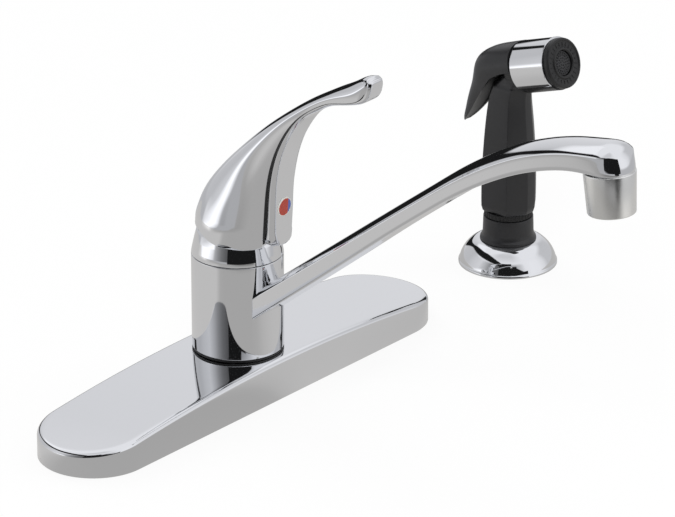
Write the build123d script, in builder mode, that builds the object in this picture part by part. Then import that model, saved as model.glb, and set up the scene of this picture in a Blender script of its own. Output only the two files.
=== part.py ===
from build123d import *
import os
from math import cos, radians, sin, sqrt

os.makedirs("parts", exist_ok=True)

# Single-lever kitchen faucet on a three-hole deck plate, with a side spray in a fourth hole.
# Millimetres. The origin is where the hub axis meets the sink deck.
# +X runs towards the side spray, -Y towards the sink bowl, +Z up.

# ---------------------------------------------------------------- fits
RUN_GAP = 0.3  # between pieces that move past each other
THREAD_GAP = 0.08  # between a screwed piece and its thread
SEAT_GAP = 0.05  # between pieces that sit still together

# ---------------------------------------------------------------- sink deck
HOLE_PITCH = 101.6  # sink holes, four inches apart
DECK_THICKNESS = 10.0  # room left for the sink between flange and nut

# ---------------------------------------------------------------- deck plate
PLATE_OVERHANG = 27.9  # beyond the outer holes
PLATE_LENGTH = 2 * (HOLE_PITCH + PLATE_OVERHANG)
PLATE_WIDTH = 54.0
PLATE_CROWN = 20.6  # height at the middle
PLATE_END = 11.9  # height at the two ends
PLATE_WALL = 1.6
PLATE_EDGE_ROUND = 2.4
GASKET_WIDTH = 5.0
GASKET_THICKNESS = 2.4

# ---------------------------------------------------------------- valve body
BODY_RADIUS = 16.8
BODY_TOP = 76.0
HUB_WALL = 4.9  # of the spout's sleeve round the body
HUB_RADIUS = BODY_RADIUS + RUN_GAP + HUB_WALL
BODY_FOOT_RADIUS = 19.5
BODY_FOOT_THICKNESS = 3.0
CROSSBAR_RADIUS = 6.0
CROSSBAR_HEIGHT = 6.4
CROSSBAR_BORE = 4.2
END_BOSS_RADIUS = 9.0
SHANK_RADIUS = 10.4  # half-inch pipe thread
SHANK_LENGTH = 52.0
SHANK_BORE = 7.0
SHANK_FLANGE_RADIUS = 15.0
SHANK_FLANGE_THICKNESS = 2.5
RELIEF_RADIUS = 9.4  # plain waist between nut thread and supply thread
RELIEF_WIDTH = 3.0
SUPPLY_THREAD = 20.0  # length left for the supply coupling
NIPPLE_RADIUS = 6.6  # spray hose nipple
NIPPLE_WAIST = 5.6
NIPPLE_LENGTH = 40.0
NIPPLE_THREAD = 12.0
NIPPLE_BORE = 2.8
WATER_GROOVE_RADIUS = 14.4
WATER_GROOVE_WIDTH = 8.0
WATER_GROOVE_HEIGHT = 44.0
RING_SECTION = 2.5  # O-ring
RING_GAP = 0.2  # between an O-ring and the hub
RING_GROOVE_WIDTH = 3.2
RING_LOW = 26.0
RING_HIGH = 58.0
DIVERTER_HEIGHT = 36.0
DIVERTER_RADIUS = 5.0
DIVERTER_DEPTH = 13.0

# ---------------------------------------------------------------- ball valve
PIVOT_HEIGHT = 74.0  # centre of the ball
BALL_RADIUS = 11.0
CHAMBER_RADIUS = 13.4
CHAMBER_FLOOR = 61.0
SEAT_RADIUS = 2.8
SEAT_OFFSET = 5.5
SEAT_HEIGHT = 6.0
SEAT_BORE = 1.4
SPRING_LENGTH = 5.6
SPRING_WIRE = 0.7
SPRING_TURNS = 4
PACKING_HEIGHT = 3.0
STEM_RADIUS = 3.0
STEM_REACH = 30.0  # from the ball's centre
STEM_LEAN = 10.0  # degrees towards the bowl with the lever down

# ---------------------------------------------------------------- cap
CAP_FOOT_RADIUS = HUB_RADIUS
CAP_WAIST_INSET = 1.6
CAP_WAIST_RADIUS = CAP_FOOT_RADIUS - CAP_WAIST_INSET
CAP_WAIST_HEIGHT = 77.0
CAP_SHOULDER_INSET = 3.0
CAP_SHOULDER_RADIUS = CAP_FOOT_RADIUS - CAP_SHOULDER_INSET
CAP_SHOULDER_HEIGHT = 81.6
CAP_TOP = 86.0
CAP_CROWN_INSET = 8.6
CAP_CROWN_RADIUS = CAP_FOOT_RADIUS - CAP_CROWN_INSET
CAP_ROOF = 3.4
ADJUSTER_RADIUS = 11.4
ADJUSTER_BORE = 7.8

# ---------------------------------------------------------------- spout
HUB_TOP = 68.9
GLIDE_THICKNESS = 1.8
ARM_HALF_WIDTH = 11.6
ARM_CORNER = 1.8
ARM_WALL = 1.7
SPOUT_REACH = 216.4
ARM_ROOT = 14.0  # inside the hub, where the arm's form starts
# stations along the arm: share of the way from root to reach, underside, side top, ridge
ARM_STATIONS = [
    (0.0, 38.6, 49.7, 53.4),
    (0.1285, 59.1, 69.3, 73.4),
    (0.2767, 82.8, 92.0, 96.4),
    (0.4249, 106.8, 115.0, 119.4),
    (0.5237, 122.1, 130.0, 134.6),
    (0.5978, 133.2, 141.0, 145.9),
    (0.6719, 143.4, 151.3, 156.3),
    (0.7460, 152.1, 160.1, 165.1),
    (0.8202, 159.0, 167.1, 171.7),
    (0.8943, 163.5, 171.6, 175.9),
    (0.9486, 164.8, 173.3, 177.6),
    (1.0, 164.9, 174.0, 178.9),
]
AERATOR_TILT = 5.0
AERATOR_TOP = ARM_STATIONS[-1][1]
AERATOR_LENGTH = 19.4
AERATOR_TOP_RADIUS = 12.0
AERATOR_MOUTH_RADIUS = 11.1
AERATOR_WALL = 1.7
AERATOR_NECK_RADIUS = 9.6
AERATOR_NECK_LENGTH = 5.0
SCREEN_THICKNESS = 3.0
SCREEN_INSET = 2.2
WASHER_THICKNESS = 1.6

# ---------------------------------------------------------------- handle
# stations up the lever, each a plane across it:
# front y, front z, back y, back z, half width of the front, greatest half width, where that is
HANDLE_STATIONS = [
    (-HUB_RADIUS - 2.0, 75.0, HUB_RADIUS - 2.7, 75.0, 10.5, HUB_RADIUS - 0.1, 0.49),
    (-HUB_RADIUS - 2.5, 87.5, HUB_RADIUS - 3.1, 91.0, 10.5, HUB_RADIUS - 0.8, 0.49),
    (-HUB_RADIUS - 3.2, 97.5, HUB_RADIUS - 7.1, 100.8, 10.5, HUB_RADIUS - 3.2, 0.52),
    (-26.1, 107.6, 8.5, 110.0, 10.5, 16.2, 0.53),
    (-27.9, 118.0, 0.6, 118.8, 10.5, 14.0, 0.52),
    (-31.5, 129.5, -10.2, 129.2, 10.3, 12.3, 0.50),
    (-37.5, 141.0, -21.8, 139.5, 10.0, 11.0, 0.45),
    (-44.8, 150.0, -34.8, 149.6, 9.3, 9.7, 0.40),
    (-52.0, 155.6, -47.5, 158.4, 8.0, 8.3, 0.35),
    (-60.0, 160.1, -57.3, 164.2, 7.2, 7.4, 0.35),
    (-67.5, 162.2, -65.5, 168.8, 6.9, 7.1, 0.35),
    (-75.0, 164.2, -72.8, 172.7, 6.8, 7.0, 0.35),
    (-80.8, 167.2, -80.0, 176.4, 6.5, 6.7, 0.35),
    (-84.6, 172.0, -84.4, 177.9, 4.8, 5.0, 0.40),
]
PANEL_INSET = 1.6  # ledge beside the raised front panel
PANEL_PROUD = 1.9
PANEL_ROOT = 1.5
PANEL_FOOT = 80.2
RIM_LINE = [(-32.0, 78.9), (-16.0, 78.3), (-7.0, 79.4), (0.0, 81.3), (6.0, 83.8), (13.0, 85.0), (26.0, 85.2)]
SOCKET_RADIUS = HUB_RADIUS - 1.1  # of the ball-shaped hollow, and of the round pocket below it
POCKET_OFFSET = 2.7
POCKET_TOP = 85.0
SCREW_DISTANCE = 24.0  # along the stem, from the pivot
SCREW_RADIUS = 2.5
SCREW_LENGTH = 8.0
BUTTON_RADIUS = 4.3
BUTTON_DEPTH = 3.0
BUTTON_FACE = 27.3
BUTTON_HEIGHT = 98.3

# ---------------------------------------------------------------- side spray
SPRAY_X = 2 * HOLE_PITCH
SPRAY_Y = -6.0
FLANGE_RADIUS = 24.9
FLANGE_LIP = 1.3
FLANGE_TOP = 10.4
FLANGE_TOP_RADIUS = 14.6
FLANGE_WALL = 1.5
FLANGE_HOLLOW = 14.0  # radius of its hollow sweep
HOLDER_COLLAR_RADIUS = 14.0
HOLDER_COLLAR_HEIGHT = 2.6
HOLDER_RADIUS = 12.6
HOLDER_TOP = 22.4
HOLDER_BORE = 10.2
HOLDER_SHANK_RADIUS = 12.4
HOLDER_SHANK_LENGTH = 46.0
COUPLING_RADIUS = 9.6
COUPLING_FOOT = -8.0
COUPLING_COLLAR = 12.0
COUPLING_BORE = 5.0
COUPLING_HEIGHT = 5.0  # of its knurled collar
GRIP_FOOT = HOLDER_TOP + COUPLING_HEIGHT
# stations up the grip: height above its foot, corner radius of the eight-sided section
GRIP_STATIONS = [
    (0.0, 12.3),
    (3.6, 13.9),
    (21.6, 13.9),
    (38.6, 12.8),
    (50.6, 11.6),
    (65.6, 9.9),
]
HEAD_FORWARD = 10.0  # from the grip's axis to where the chrome sleeve starts on the head's axis
HEAD_RISE = 80.1  # of that place above the grip's foot
HEAD_Y = SPRAY_Y - HEAD_FORWARD
HEAD_Z = GRIP_FOOT + HEAD_RISE
HEAD_TILT = 17.8
HEAD_CORE_RADIUS = 12.4
HEAD_CORE_LENGTH = 21.2
NECK_RADIUS = 9.4
NECK_BACK = 10.0
NECK_OFFSET = 3.0  # the neck stands forward of the grip
NECK_DROP = 2.5  # its top below the head's place
SLEEVE_RADIUS = 13.5
SLEEVE_LENGTH = 21.3
SLEEVE_OPENING = 96.0  # degrees left open below
NOZZLE_RADIUS = 13.3
NOZZLE_LENGTH = 3.4
NOZZLE_MOUTH = 8.2
# places on the trigger are y and z from the head's place
TRIGGER_PIVOT = (11.0, 0.0)
PIN_RADIUS = 1.5
PIN_GAP = 0.05
PIN_BITE = 1.4  # into each cheek of the trigger
TRIGGER_RADIUS = 13.3
TRIGGER_CHEEK = 2.1
TRIGGER_FREE = 0.8  # between trigger and sleeve, so that it can swing
TRIGGER_HOLLOW = 13.3  # about the grip's axis, so that the lever clears it
TRIGGER_HOLLOW_FOOT = -21.5
# trigger from the side: over the head, down the back, and back up the edge that faces the grip
TRIGGER_BACK = [(-2.0, 15.5), (4.1, 13.1), (8.6, 11.0), (16.7, 7.5), (22.9, 4.1), (25.8, 1.7), (27.1, -0.9),
                (29.0, -8.5), (31.6, -17.3), (33.8, -25.8), (36.4, -33.1), (37.6, -36.9)]
TRIGGER_FRONT = [(36.6, -37.3), (33.7, -34.1), (30.6, -30.5), (25.6, -23.3), (21.1, -16.7), (18.0, -12.3), (15.5, -9.5),
                 (13.0, -6.5), (9.5, -3.9), (5.5, -1.5), (-4.0, 0.0)]
TRIGGER_INSIDE = [(-4.0, 14.5), (3.6, 11.3), (8.0, 9.4), (16.0, 5.8), (22.2, 2.4), (25.4, -0.5),
                  (26.8, -8.0), (26.5, -12.5), (-4.0, -12.5)]
# half widths of the trigger from behind: width, height from the head's place
TRIGGER_SIDE = [(17.0, 22.5), (17.0, 4.5), (13.4, -5.0), (12.7, -8.0), (11.7, -12.5), (10.0, -16.5), (8.4, -23.5),
                (6.1, -30.5), (4.6, -33.9), (2.6, -36.7)]
PLUNGER_RADIUS = 1.9
PLUNGER_GAP = 0.08
PLUNGER_HEAD = 2.6
PLUNGER_DROP = 8.5  # below the head's place
PLUNGER_BACK = 25.8
PLUNGER_FRONT = 7.0

# ---------------------------------------------------------------- nuts and washers
NUT_THICKNESS = 7.0
NUT_RADIUS = 18.5
WASHER_RADIUS = 19.0
DECK_WASHER = 1.8
HOLDER_NUT_RADIUS = 21.0


def crown_radius():
    """Radius of the long arc over the deck plate."""
    drop = PLATE_CROWN - PLATE_END
    half = PLATE_LENGTH / 2
    return (half**2 + drop**2) / (2 * drop)


def plate_form(inset, top):
    """The plate's stadium outline, set in by inset, under its long arc lowered to top."""
    reach = PLATE_LENGTH
    radius = crown_radius() - (PLATE_CROWN - top)
    edge = top - (radius - sqrt(radius**2 - reach**2 / 4))
    with BuildPart() as form:
        with BuildSketch():
            SlotOverall(PLATE_LENGTH - 2 * inset, PLATE_WIDTH - 2 * inset)
        extrude(amount=top)
        with BuildSketch(Plane.XZ):
            with BuildLine():
                Polyline((-reach / 2, edge), (-reach / 2, -1), (reach / 2, -1), (reach / 2, edge))
                ThreePointArc((reach / 2, edge), (0, top), (-reach / 2, edge))
            make_face()
        extrude(amount=PLATE_WIDTH, both=True, mode=Mode.INTERSECT)
    return form.part


def ring(outer, inner, bottom, top, x=0.0, y=0.0):
    """A plain ring about a vertical axis."""
    with BuildPart() as made:
        with BuildSketch(Plane.XY.offset(bottom)):
            with Locations((x, y)):
                Circle(outer)
                Circle(inner, mode=Mode.SUBTRACT)
        extrude(amount=top - bottom)
    return made.part


# ================================================================ deck plate
plate_hole = BODY_RADIUS + 1.2

with BuildPart() as deck_plate:
    add(plate_form(0, PLATE_CROWN))
    fillet(deck_plate.faces().sort_by(Axis.Z)[-1].edges(), PLATE_EDGE_ROUND)
    add(plate_form(PLATE_WALL, PLATE_CROWN - PLATE_WALL), mode=Mode.SUBTRACT)
    with Locations((0, 0, PLATE_CROWN)):
        Cylinder(plate_hole, 4 * PLATE_WALL, mode=Mode.SUBTRACT)
deck_plate.part.label = "deck_plate"

gasket_inset = PLATE_WALL + RUN_GAP

with BuildPart() as base_gasket:
    with BuildSketch():
        SlotOverall(PLATE_LENGTH - 2 * gasket_inset, PLATE_WIDTH - 2 * gasket_inset)
        inner = gasket_inset + GASKET_WIDTH
        SlotOverall(PLATE_LENGTH - 2 * inner, PLATE_WIDTH - 2 * inner, mode=Mode.SUBTRACT)
    extrude(amount=GASKET_THICKNESS)
base_gasket.part.label = "base_gasket"

# ================================================================ valve body
boss_top = CROSSBAR_HEIGHT + CROSSBAR_RADIUS
hub_bore = BODY_RADIUS + RUN_GAP
ring_groove_radius = hub_bore - RING_GAP - RING_SECTION - SEAT_GAP
seat_bottom = PIVOT_HEIGHT - BALL_RADIUS - SEAT_HEIGHT
seat_bore_floor = seat_bottom - SPRING_LENGTH - 2 * SEAT_GAP
ends = [(-HOLE_PITCH, 0), (HOLE_PITCH, 0)]
seats = [(-SEAT_OFFSET, 0), (SEAT_OFFSET, 0)]
diverter_face = sqrt(BODY_RADIUS**2 - DIVERTER_RADIUS**2) - SEAT_GAP
diverter_end = diverter_face - DIVERTER_DEPTH

with BuildPart() as valve_body:
    with BuildSketch():
        Circle(BODY_FOOT_RADIUS)
    extrude(amount=BODY_FOOT_THICKNESS)
    with BuildSketch():
        Circle(BODY_RADIUS)
    extrude(amount=BODY_TOP)
    with BuildSketch(Plane.YZ.offset(-HOLE_PITCH)):
        with Locations((0, CROSSBAR_HEIGHT)):
            Circle(CROSSBAR_RADIUS)
    extrude(amount=2 * HOLE_PITCH)
    with BuildSketch():
        with Locations(*ends):
            Circle(END_BOSS_RADIUS)
    extrude(amount=boss_top)
    with BuildSketch():
        with Locations(*ends):
            Circle(SHANK_FLANGE_RADIUS)
    extrude(amount=SHANK_FLANGE_THICKNESS)
    with BuildSketch():
        with Locations(*ends):
            Circle(SHANK_RADIUS)
    extrude(amount=-SHANK_LENGTH)
    with BuildSketch():
        Circle(NIPPLE_WAIST)
    extrude(amount=-NIPPLE_LENGTH)
    with BuildSketch(Plane.XY.offset(-NIPPLE_LENGTH)):
        Circle(NIPPLE_RADIUS)
    extrude(amount=NIPPLE_THREAD)
    # waterways: supply bores, crossbar, two risers, mixed outlet, spray outlet
    with BuildSketch(Plane.XY.offset(-SHANK_LENGTH)):
        with Locations(*ends):
            Circle(SHANK_BORE)
    extrude(amount=SHANK_LENGTH - 1, mode=Mode.SUBTRACT)
    with BuildSketch(Plane.XY.offset(-2)):
        with Locations(*ends):
            Circle(CROSSBAR_BORE)
    extrude(amount=CROSSBAR_HEIGHT + 2, mode=Mode.SUBTRACT)
    for side in (-1, 1):
        with BuildSketch(Plane.YZ.offset(side * SEAT_OFFSET)):
            with Locations((0, CROSSBAR_HEIGHT)):
                Circle(CROSSBAR_BORE)
        extrude(amount=side * (HOLE_PITCH - SEAT_OFFSET), mode=Mode.SUBTRACT)
    with BuildSketch(Plane.XY.offset(CROSSBAR_HEIGHT)):
        with Locations(*seats):
            Circle(SEAT_BORE)
    extrude(amount=CHAMBER_FLOOR - CROSSBAR_HEIGHT, mode=Mode.SUBTRACT)
    with BuildSketch(Plane.XY.offset(seat_bore_floor)):
        with Locations(*seats):
            Circle(SEAT_RADIUS + SEAT_GAP)
    extrude(amount=CHAMBER_FLOOR - seat_bore_floor, mode=Mode.SUBTRACT)
    with BuildSketch(Plane.XY.offset(CHAMBER_FLOOR)):
        Circle(CHAMBER_RADIUS)
    extrude(amount=BODY_TOP - CHAMBER_FLOOR, mode=Mode.SUBTRACT)
    with BuildSketch(Plane.XY.offset(WATER_GROOVE_HEIGHT)):
        with Locations((0, -CHAMBER_RADIUS / 2)):
            Circle(NIPPLE_BORE)
    extrude(amount=CHAMBER_FLOOR - WATER_GROOVE_HEIGHT, mode=Mode.SUBTRACT)
    with BuildSketch(Plane.XZ.offset(CHAMBER_RADIUS / 2)):
        with Locations((0, WATER_GROOVE_HEIGHT)):
            Circle(NIPPLE_BORE)
    extrude(amount=BODY_RADIUS, mode=Mode.SUBTRACT)
    with BuildSketch(Plane.XY.offset(-NIPPLE_LENGTH)):
        Circle(NIPPLE_BORE)
    extrude(amount=NIPPLE_LENGTH + DIVERTER_HEIGHT, mode=Mode.SUBTRACT)
    with BuildSketch(Plane.XZ.offset(-BODY_RADIUS)):
        with Locations((0, DIVERTER_HEIGHT)):
            Circle(DIVERTER_RADIUS + THREAD_GAP)
    extrude(amount=BODY_RADIUS - diverter_end + SEAT_GAP, mode=Mode.SUBTRACT)
    # outside grooves: two O-rings, the water groove, and the waist on each shank
    for height in (RING_LOW, RING_HIGH):
        groove = ring(BODY_RADIUS + 1, ring_groove_radius,
                      height - RING_GROOVE_WIDTH / 2, height + RING_GROOVE_WIDTH / 2)
        add(groove, mode=Mode.SUBTRACT)
    add(ring(BODY_RADIUS + 1, WATER_GROOVE_RADIUS, WATER_GROOVE_HEIGHT - WATER_GROOVE_WIDTH / 2,
             WATER_GROOVE_HEIGHT + WATER_GROOVE_WIDTH / 2), mode=Mode.SUBTRACT)
    for x, y in ends:
        relief_top = SUPPLY_THREAD + RELIEF_WIDTH - SHANK_LENGTH
        add(ring(SHANK_RADIUS + 1, RELIEF_RADIUS, relief_top - RELIEF_WIDTH, relief_top, x, y),
            mode=Mode.SUBTRACT)
valve_body.part.label = "valve_body"

nut_face = -DECK_THICKNESS

with BuildPart() as shank_washers:
    for x, y in ends:
        add(ring(WASHER_RADIUS, SHANK_RADIUS + RUN_GAP, nut_face - DECK_WASHER, nut_face, x, y))
shank_washers.part.label = "shank_washers"

with BuildPart() as shank_nuts:
    with BuildSketch(Plane.XY.offset(nut_face - DECK_WASHER)):
        with Locations(*ends):
            RegularPolygon(NUT_RADIUS, 6)
            Circle(SHANK_RADIUS + THREAD_GAP, mode=Mode.SUBTRACT)
    extrude(amount=-NUT_THICKNESS)
    chamfer(shank_nuts.edges().group_by(Axis.Z)[0].filter_by(GeomType.LINE), 1.0)
shank_nuts.part.label = "shank_nuts"

with BuildPart() as diverter:
    with BuildSketch(Plane.XZ.offset(-diverter_face)):
        with Locations((0, DIVERTER_HEIGHT)):
            Circle(DIVERTER_RADIUS)
    extrude(amount=DIVERTER_DEPTH)
    with BuildSketch(Plane.XZ.offset(-diverter_face + 4)):
        with Locations((0, DIVERTER_HEIGHT)):
            Circle(DIVERTER_RADIUS + 1)
            Circle(DIVERTER_RADIUS - 1.2, mode=Mode.SUBTRACT)
    extrude(amount=3, mode=Mode.SUBTRACT)
diverter.part.label = "diverter"

# ================================================================ ball valve
with BuildPart() as valve_seats:
    with BuildSketch(Plane.XY.offset(seat_bottom)):
        with Locations(*seats):
            Circle(SEAT_RADIUS)
            Circle(SEAT_BORE, mode=Mode.SUBTRACT)
    extrude(amount=SEAT_HEIGHT)
valve_seats.part.label = "valve_seats"

spring_radius = SEAT_RADIUS - SPRING_WIRE
spring_foot = seat_bore_floor + SEAT_GAP + SPRING_WIRE / 2
spring_pitch = (SPRING_LENGTH - SPRING_WIRE) / SPRING_TURNS

with BuildPart() as seat_springs:
    for x, y in seats:
        with BuildLine(Plane((x, y, spring_foot))):
            coil = Helix(spring_pitch, spring_pitch * SPRING_TURNS, spring_radius)
        with BuildSketch(Plane(coil @ 0, z_dir=coil % 0)):
            Circle(SPRING_WIRE / 2)
        sweep(path=coil, is_frenet=True)
seat_springs.part.label = "seat_springs"

with BuildPart() as packing_ring:
    with BuildSketch(Plane.XY.offset(PIVOT_HEIGHT - PACKING_HEIGHT / 2)):
        Circle(CHAMBER_RADIUS - RUN_GAP)
        Circle(BALL_RADIUS + RUN_GAP, mode=Mode.SUBTRACT)
    extrude(amount=PACKING_HEIGHT)
packing_ring.part.label = "packing_ring"

pivot = (0, 0, PIVOT_HEIGHT)
stem_plane = Plane(pivot, x_dir=(1, 0, 0), z_dir=(0, -sin(radians(STEM_LEAN)), cos(radians(STEM_LEAN))))

with BuildPart() as ball:
    with Locations(pivot):
        Sphere(BALL_RADIUS)
    with BuildSketch(stem_plane):
        Circle(STEM_RADIUS)
    extrude(amount=STEM_REACH)
    chamfer(ball.edges().sort_by(Axis.Z)[-1], 0.6)
    with BuildSketch(Plane.XY.offset(PIVOT_HEIGHT)):
        with Locations(*seats):
            Circle(SEAT_BORE)
    extrude(amount=-BALL_RADIUS, mode=Mode.SUBTRACT)
ball.part.label = "ball"

# ================================================================ cap
cap_foot = HUB_TOP + RUN_GAP
cam_bottom = BODY_TOP + SEAT_GAP
cam_top = CAP_TOP - CAP_ROOF - SEAT_GAP
cap_thread = BODY_RADIUS + THREAD_GAP

with BuildPart() as cap:
    with BuildSketch(Plane.XZ) as cap_profile:
        with BuildLine():
            Polyline((cap_thread, cap_foot), (CAP_FOOT_RADIUS, cap_foot), (CAP_WAIST_RADIUS, CAP_WAIST_HEIGHT),
                     (CAP_SHOULDER_RADIUS, CAP_SHOULDER_HEIGHT), (CAP_CROWN_RADIUS, CAP_TOP),
                     (ADJUSTER_RADIUS + THREAD_GAP, CAP_TOP),
                     (ADJUSTER_RADIUS + THREAD_GAP, CAP_TOP - CAP_ROOF), (cap_thread, CAP_TOP - CAP_ROOF), close=True)
        make_face()
        shoulder = cap_profile.vertices().filter_by_position(
            Axis.Y, CAP_SHOULDER_HEIGHT - 0.1, CAP_SHOULDER_HEIGHT + 0.1)
        fillet(shoulder, 1.6)
    revolve(axis=Axis.Z)
cap.part.label = "cap"

with BuildPart() as cam:
    with BuildSketch(Plane.XY.offset(cam_bottom)):
        Circle(BODY_RADIUS)
    extrude(amount=cam_top - cam_bottom)
    with Locations(pivot):
        Sphere(BALL_RADIUS + RUN_GAP, mode=Mode.SUBTRACT)
    with BuildSketch(Plane.XY.offset(cam_bottom)):
        Circle(ADJUSTER_BORE)
    extrude(amount=CAP_TOP - cam_bottom, mode=Mode.SUBTRACT)
cam.part.label = "cam"

with BuildPart() as adjusting_ring:
    add(ring(ADJUSTER_RADIUS, ADJUSTER_BORE, cam_top + SEAT_GAP, CAP_TOP))
    # four spanner notches
    with BuildSketch(Plane.XY.offset(CAP_TOP - 1.4)):
        with PolarLocations(ADJUSTER_RADIUS, 4):
            Rectangle(4, 2.2)
    extrude(amount=2, mode=Mode.SUBTRACT)
adjusting_ring.part.label = "adjusting_ring"

# ================================================================ spout
hub_foot = PLATE_CROWN + GLIDE_THICKNESS + RUN_GAP


def arm_section(share, low, side, ridge, inset, whole=True):
    """Flat-sided section with a crowned top and rounded lower corners, in an upright plane across the arm.

    If it isn't whole, only the half on the +X side is left.
    """
    distance = ARM_ROOT + share * (SPOUT_REACH - ARM_ROOT)
    half = ARM_HALF_WIDTH - inset
    round_low = ARM_CORNER - inset / 2
    with BuildSketch(Plane((0, -distance, 0), x_dir=(1, 0, 0), z_dir=(0, -1, 0))) as section:
        with BuildLine():
            Polyline((-half, side - inset), (-half, low + inset), (half, low + inset), (half, side - inset))
            ThreePointArc((half, side - inset), (0, ridge - inset), (-half, side - inset))
        make_face()
        fillet(section.vertices().group_by(Axis.Y)[0], round_low)
        if not whole:
            with Locations((-half, (low + ridge) / 2)):
                Rectangle(2 * half, 2 * ridge, mode=Mode.SUBTRACT)
    return section.sketch


def arm_form(inset):
    """The arm, and the half-round end over the aerator, set in by inset."""
    with BuildPart() as form:
        loft(sections=[arm_section(*station, inset) for station in ARM_STATIONS])
        revolve(profiles=arm_section(*ARM_STATIONS[-1], inset, whole=False),
                axis=Axis((0, -SPOUT_REACH, 0), (0, 0, -1)), revolution_arc=180)
    return form.part


tilt = radians(AERATOR_TILT)
aerator_plane = Plane((0, -SPOUT_REACH, AERATOR_TOP), x_dir=(1, 0, 0), z_dir=(0, -sin(tilt), -cos(tilt)))

with BuildPart() as spout:
    with BuildSketch(Plane.XY.offset(hub_foot)):
        Circle(HUB_RADIUS)
    extrude(amount=HUB_TOP - hub_foot)
    add(arm_form(0))
    add(arm_form(ARM_WALL), mode=Mode.SUBTRACT)
    with BuildSketch(Plane.XY.offset(hub_foot)):
        Circle(hub_bore)
    extrude(amount=HUB_TOP - hub_foot, mode=Mode.SUBTRACT)
    with BuildSketch(aerator_plane.offset(-AERATOR_NECK_LENGTH)):
        Circle(AERATOR_NECK_RADIUS + THREAD_GAP)
    extrude(amount=3 * AERATOR_NECK_LENGTH, mode=Mode.SUBTRACT)
    with BuildSketch(aerator_plane):
        Circle(3 * AERATOR_TOP_RADIUS)
    extrude(amount=AERATOR_NECK_LENGTH, mode=Mode.SUBTRACT)
spout.part.label = "spout"

with BuildPart() as glide_ring:
    add(ring(HUB_RADIUS + 0.2, hub_bore, PLATE_CROWN + SEAT_GAP, hub_foot - RUN_GAP))
glide_ring.part.label = "glide_ring"

with BuildPart() as spout_rings:
    for height in (RING_LOW, RING_HIGH):
        with Locations((0, 0, height)):
            Torus(ring_groove_radius + SEAT_GAP + RING_SECTION / 2, RING_SECTION / 2)
spout_rings.part.label = "spout_rings"

screen_radius = AERATOR_MOUTH_RADIUS - AERATOR_WALL - SEAT_GAP

with BuildPart() as aerator_shell:
    with BuildSketch(Plane.XZ):
        with BuildLine():
            Polyline((AERATOR_NECK_RADIUS, -AERATOR_NECK_LENGTH + 1), (AERATOR_NECK_RADIUS, SEAT_GAP),
                     (AERATOR_TOP_RADIUS, SEAT_GAP), (AERATOR_MOUTH_RADIUS, AERATOR_LENGTH),
                     (screen_radius + SEAT_GAP, AERATOR_LENGTH), (screen_radius + SEAT_GAP, AERATOR_NECK_LENGTH),
                     (AERATOR_NECK_RADIUS - AERATOR_WALL, AERATOR_NECK_LENGTH),
                     (AERATOR_NECK_RADIUS - AERATOR_WALL, -AERATOR_NECK_LENGTH + 1), close=True)
        make_face()
    revolve(axis=Axis.Z)
    fillet(aerator_shell.edges().group_by(Axis.Z)[-1], 0.6)
aerator_shell.part = aerator_plane.location * aerator_shell.part
aerator_shell.part.label = "aerator_shell"

with BuildPart() as aerator_screen:
    with BuildSketch(aerator_plane.offset(AERATOR_LENGTH - SCREEN_INSET)):
        Circle(screen_radius)
    extrude(amount=-SCREEN_THICKNESS)
    with BuildSketch(aerator_plane.offset(AERATOR_LENGTH - SCREEN_INSET)):
        with PolarLocations(screen_radius * 0.72, 18):
            Rectangle(2.6, 1.0)
        with PolarLocations(screen_radius * 0.36, 9):
            Rectangle(2.0, 0.9)
    extrude(amount=-SCREEN_THICKNESS, mode=Mode.SUBTRACT)
aerator_screen.part.label = "aerator_screen"

with BuildPart() as aerator_washer:
    with BuildSketch(aerator_plane.offset(-AERATOR_NECK_LENGTH + 1 - SEAT_GAP)):
        Circle(AERATOR_NECK_RADIUS)
        Circle(AERATOR_NECK_RADIUS - 2.4, mode=Mode.SUBTRACT)
    extrude(amount=-(1 - 2 * SEAT_GAP))
aerator_washer.part.label = "aerator_washer"


# ================================================================ handle
def across(front_y, front_z, back_y, back_z):
    """Plane across the lever, its local y running from the front to the back."""
    length = sqrt((back_y - front_y) ** 2 + (back_z - front_z) ** 2)
    rise = ((back_y - front_y) / length, (back_z - front_z) / length)
    return Plane((0, front_y, front_z), x_dir=(1, 0, 0), z_dir=(0, -rise[1], rise[0])), length


def handle_section(front_y, front_z, back_y, back_z, front_half, widest, widest_at):
    """Flat front, sides that swell, and a round back."""
    plane, length = across(front_y, front_z, back_y, back_z)
    belly = length * widest_at
    side = [
        (front_half, 0),
        (widest, belly),
        (widest * cos(radians(45)), belly + (length - belly) * sin(radians(45))),
        (0, length),
    ]
    lean = (widest - front_half, belly)
    with BuildSketch(plane) as section:
        with BuildLine():
            Line((-front_half, 0), (front_half, 0))
            Spline(*side, tangents=[lean, (-1, 0)])
            Spline(*[(-x, y) for x, y in reversed(side)], tangents=[(-1, 0), (lean[0], -lean[1])])
        make_face()
    return section.sketch


def panel_section(front_y, front_z, back_y, back_z, front_half, widest, widest_at):
    """The raised front panel, with bevelled edges, on the same plane."""
    plane, length = across(front_y, front_z, back_y, back_z)
    half = front_half - PANEL_INSET
    face = half - PANEL_PROUD * 0.6
    with BuildSketch(plane) as section:
        with BuildLine():
            Polyline((-half, PANEL_ROOT), (-half, -PANEL_PROUD * 0.4), (-face, -PANEL_PROUD),
                     (face, -PANEL_PROUD), (half, -PANEL_PROUD * 0.4), (half, PANEL_ROOT), close=True)
        make_face()
    return section.sketch


rim_reach = 2 * HUB_RADIUS
stem_direction = stem_plane.z_dir
screw_point = stem_plane.origin + stem_direction * SCREW_DISTANCE

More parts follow.
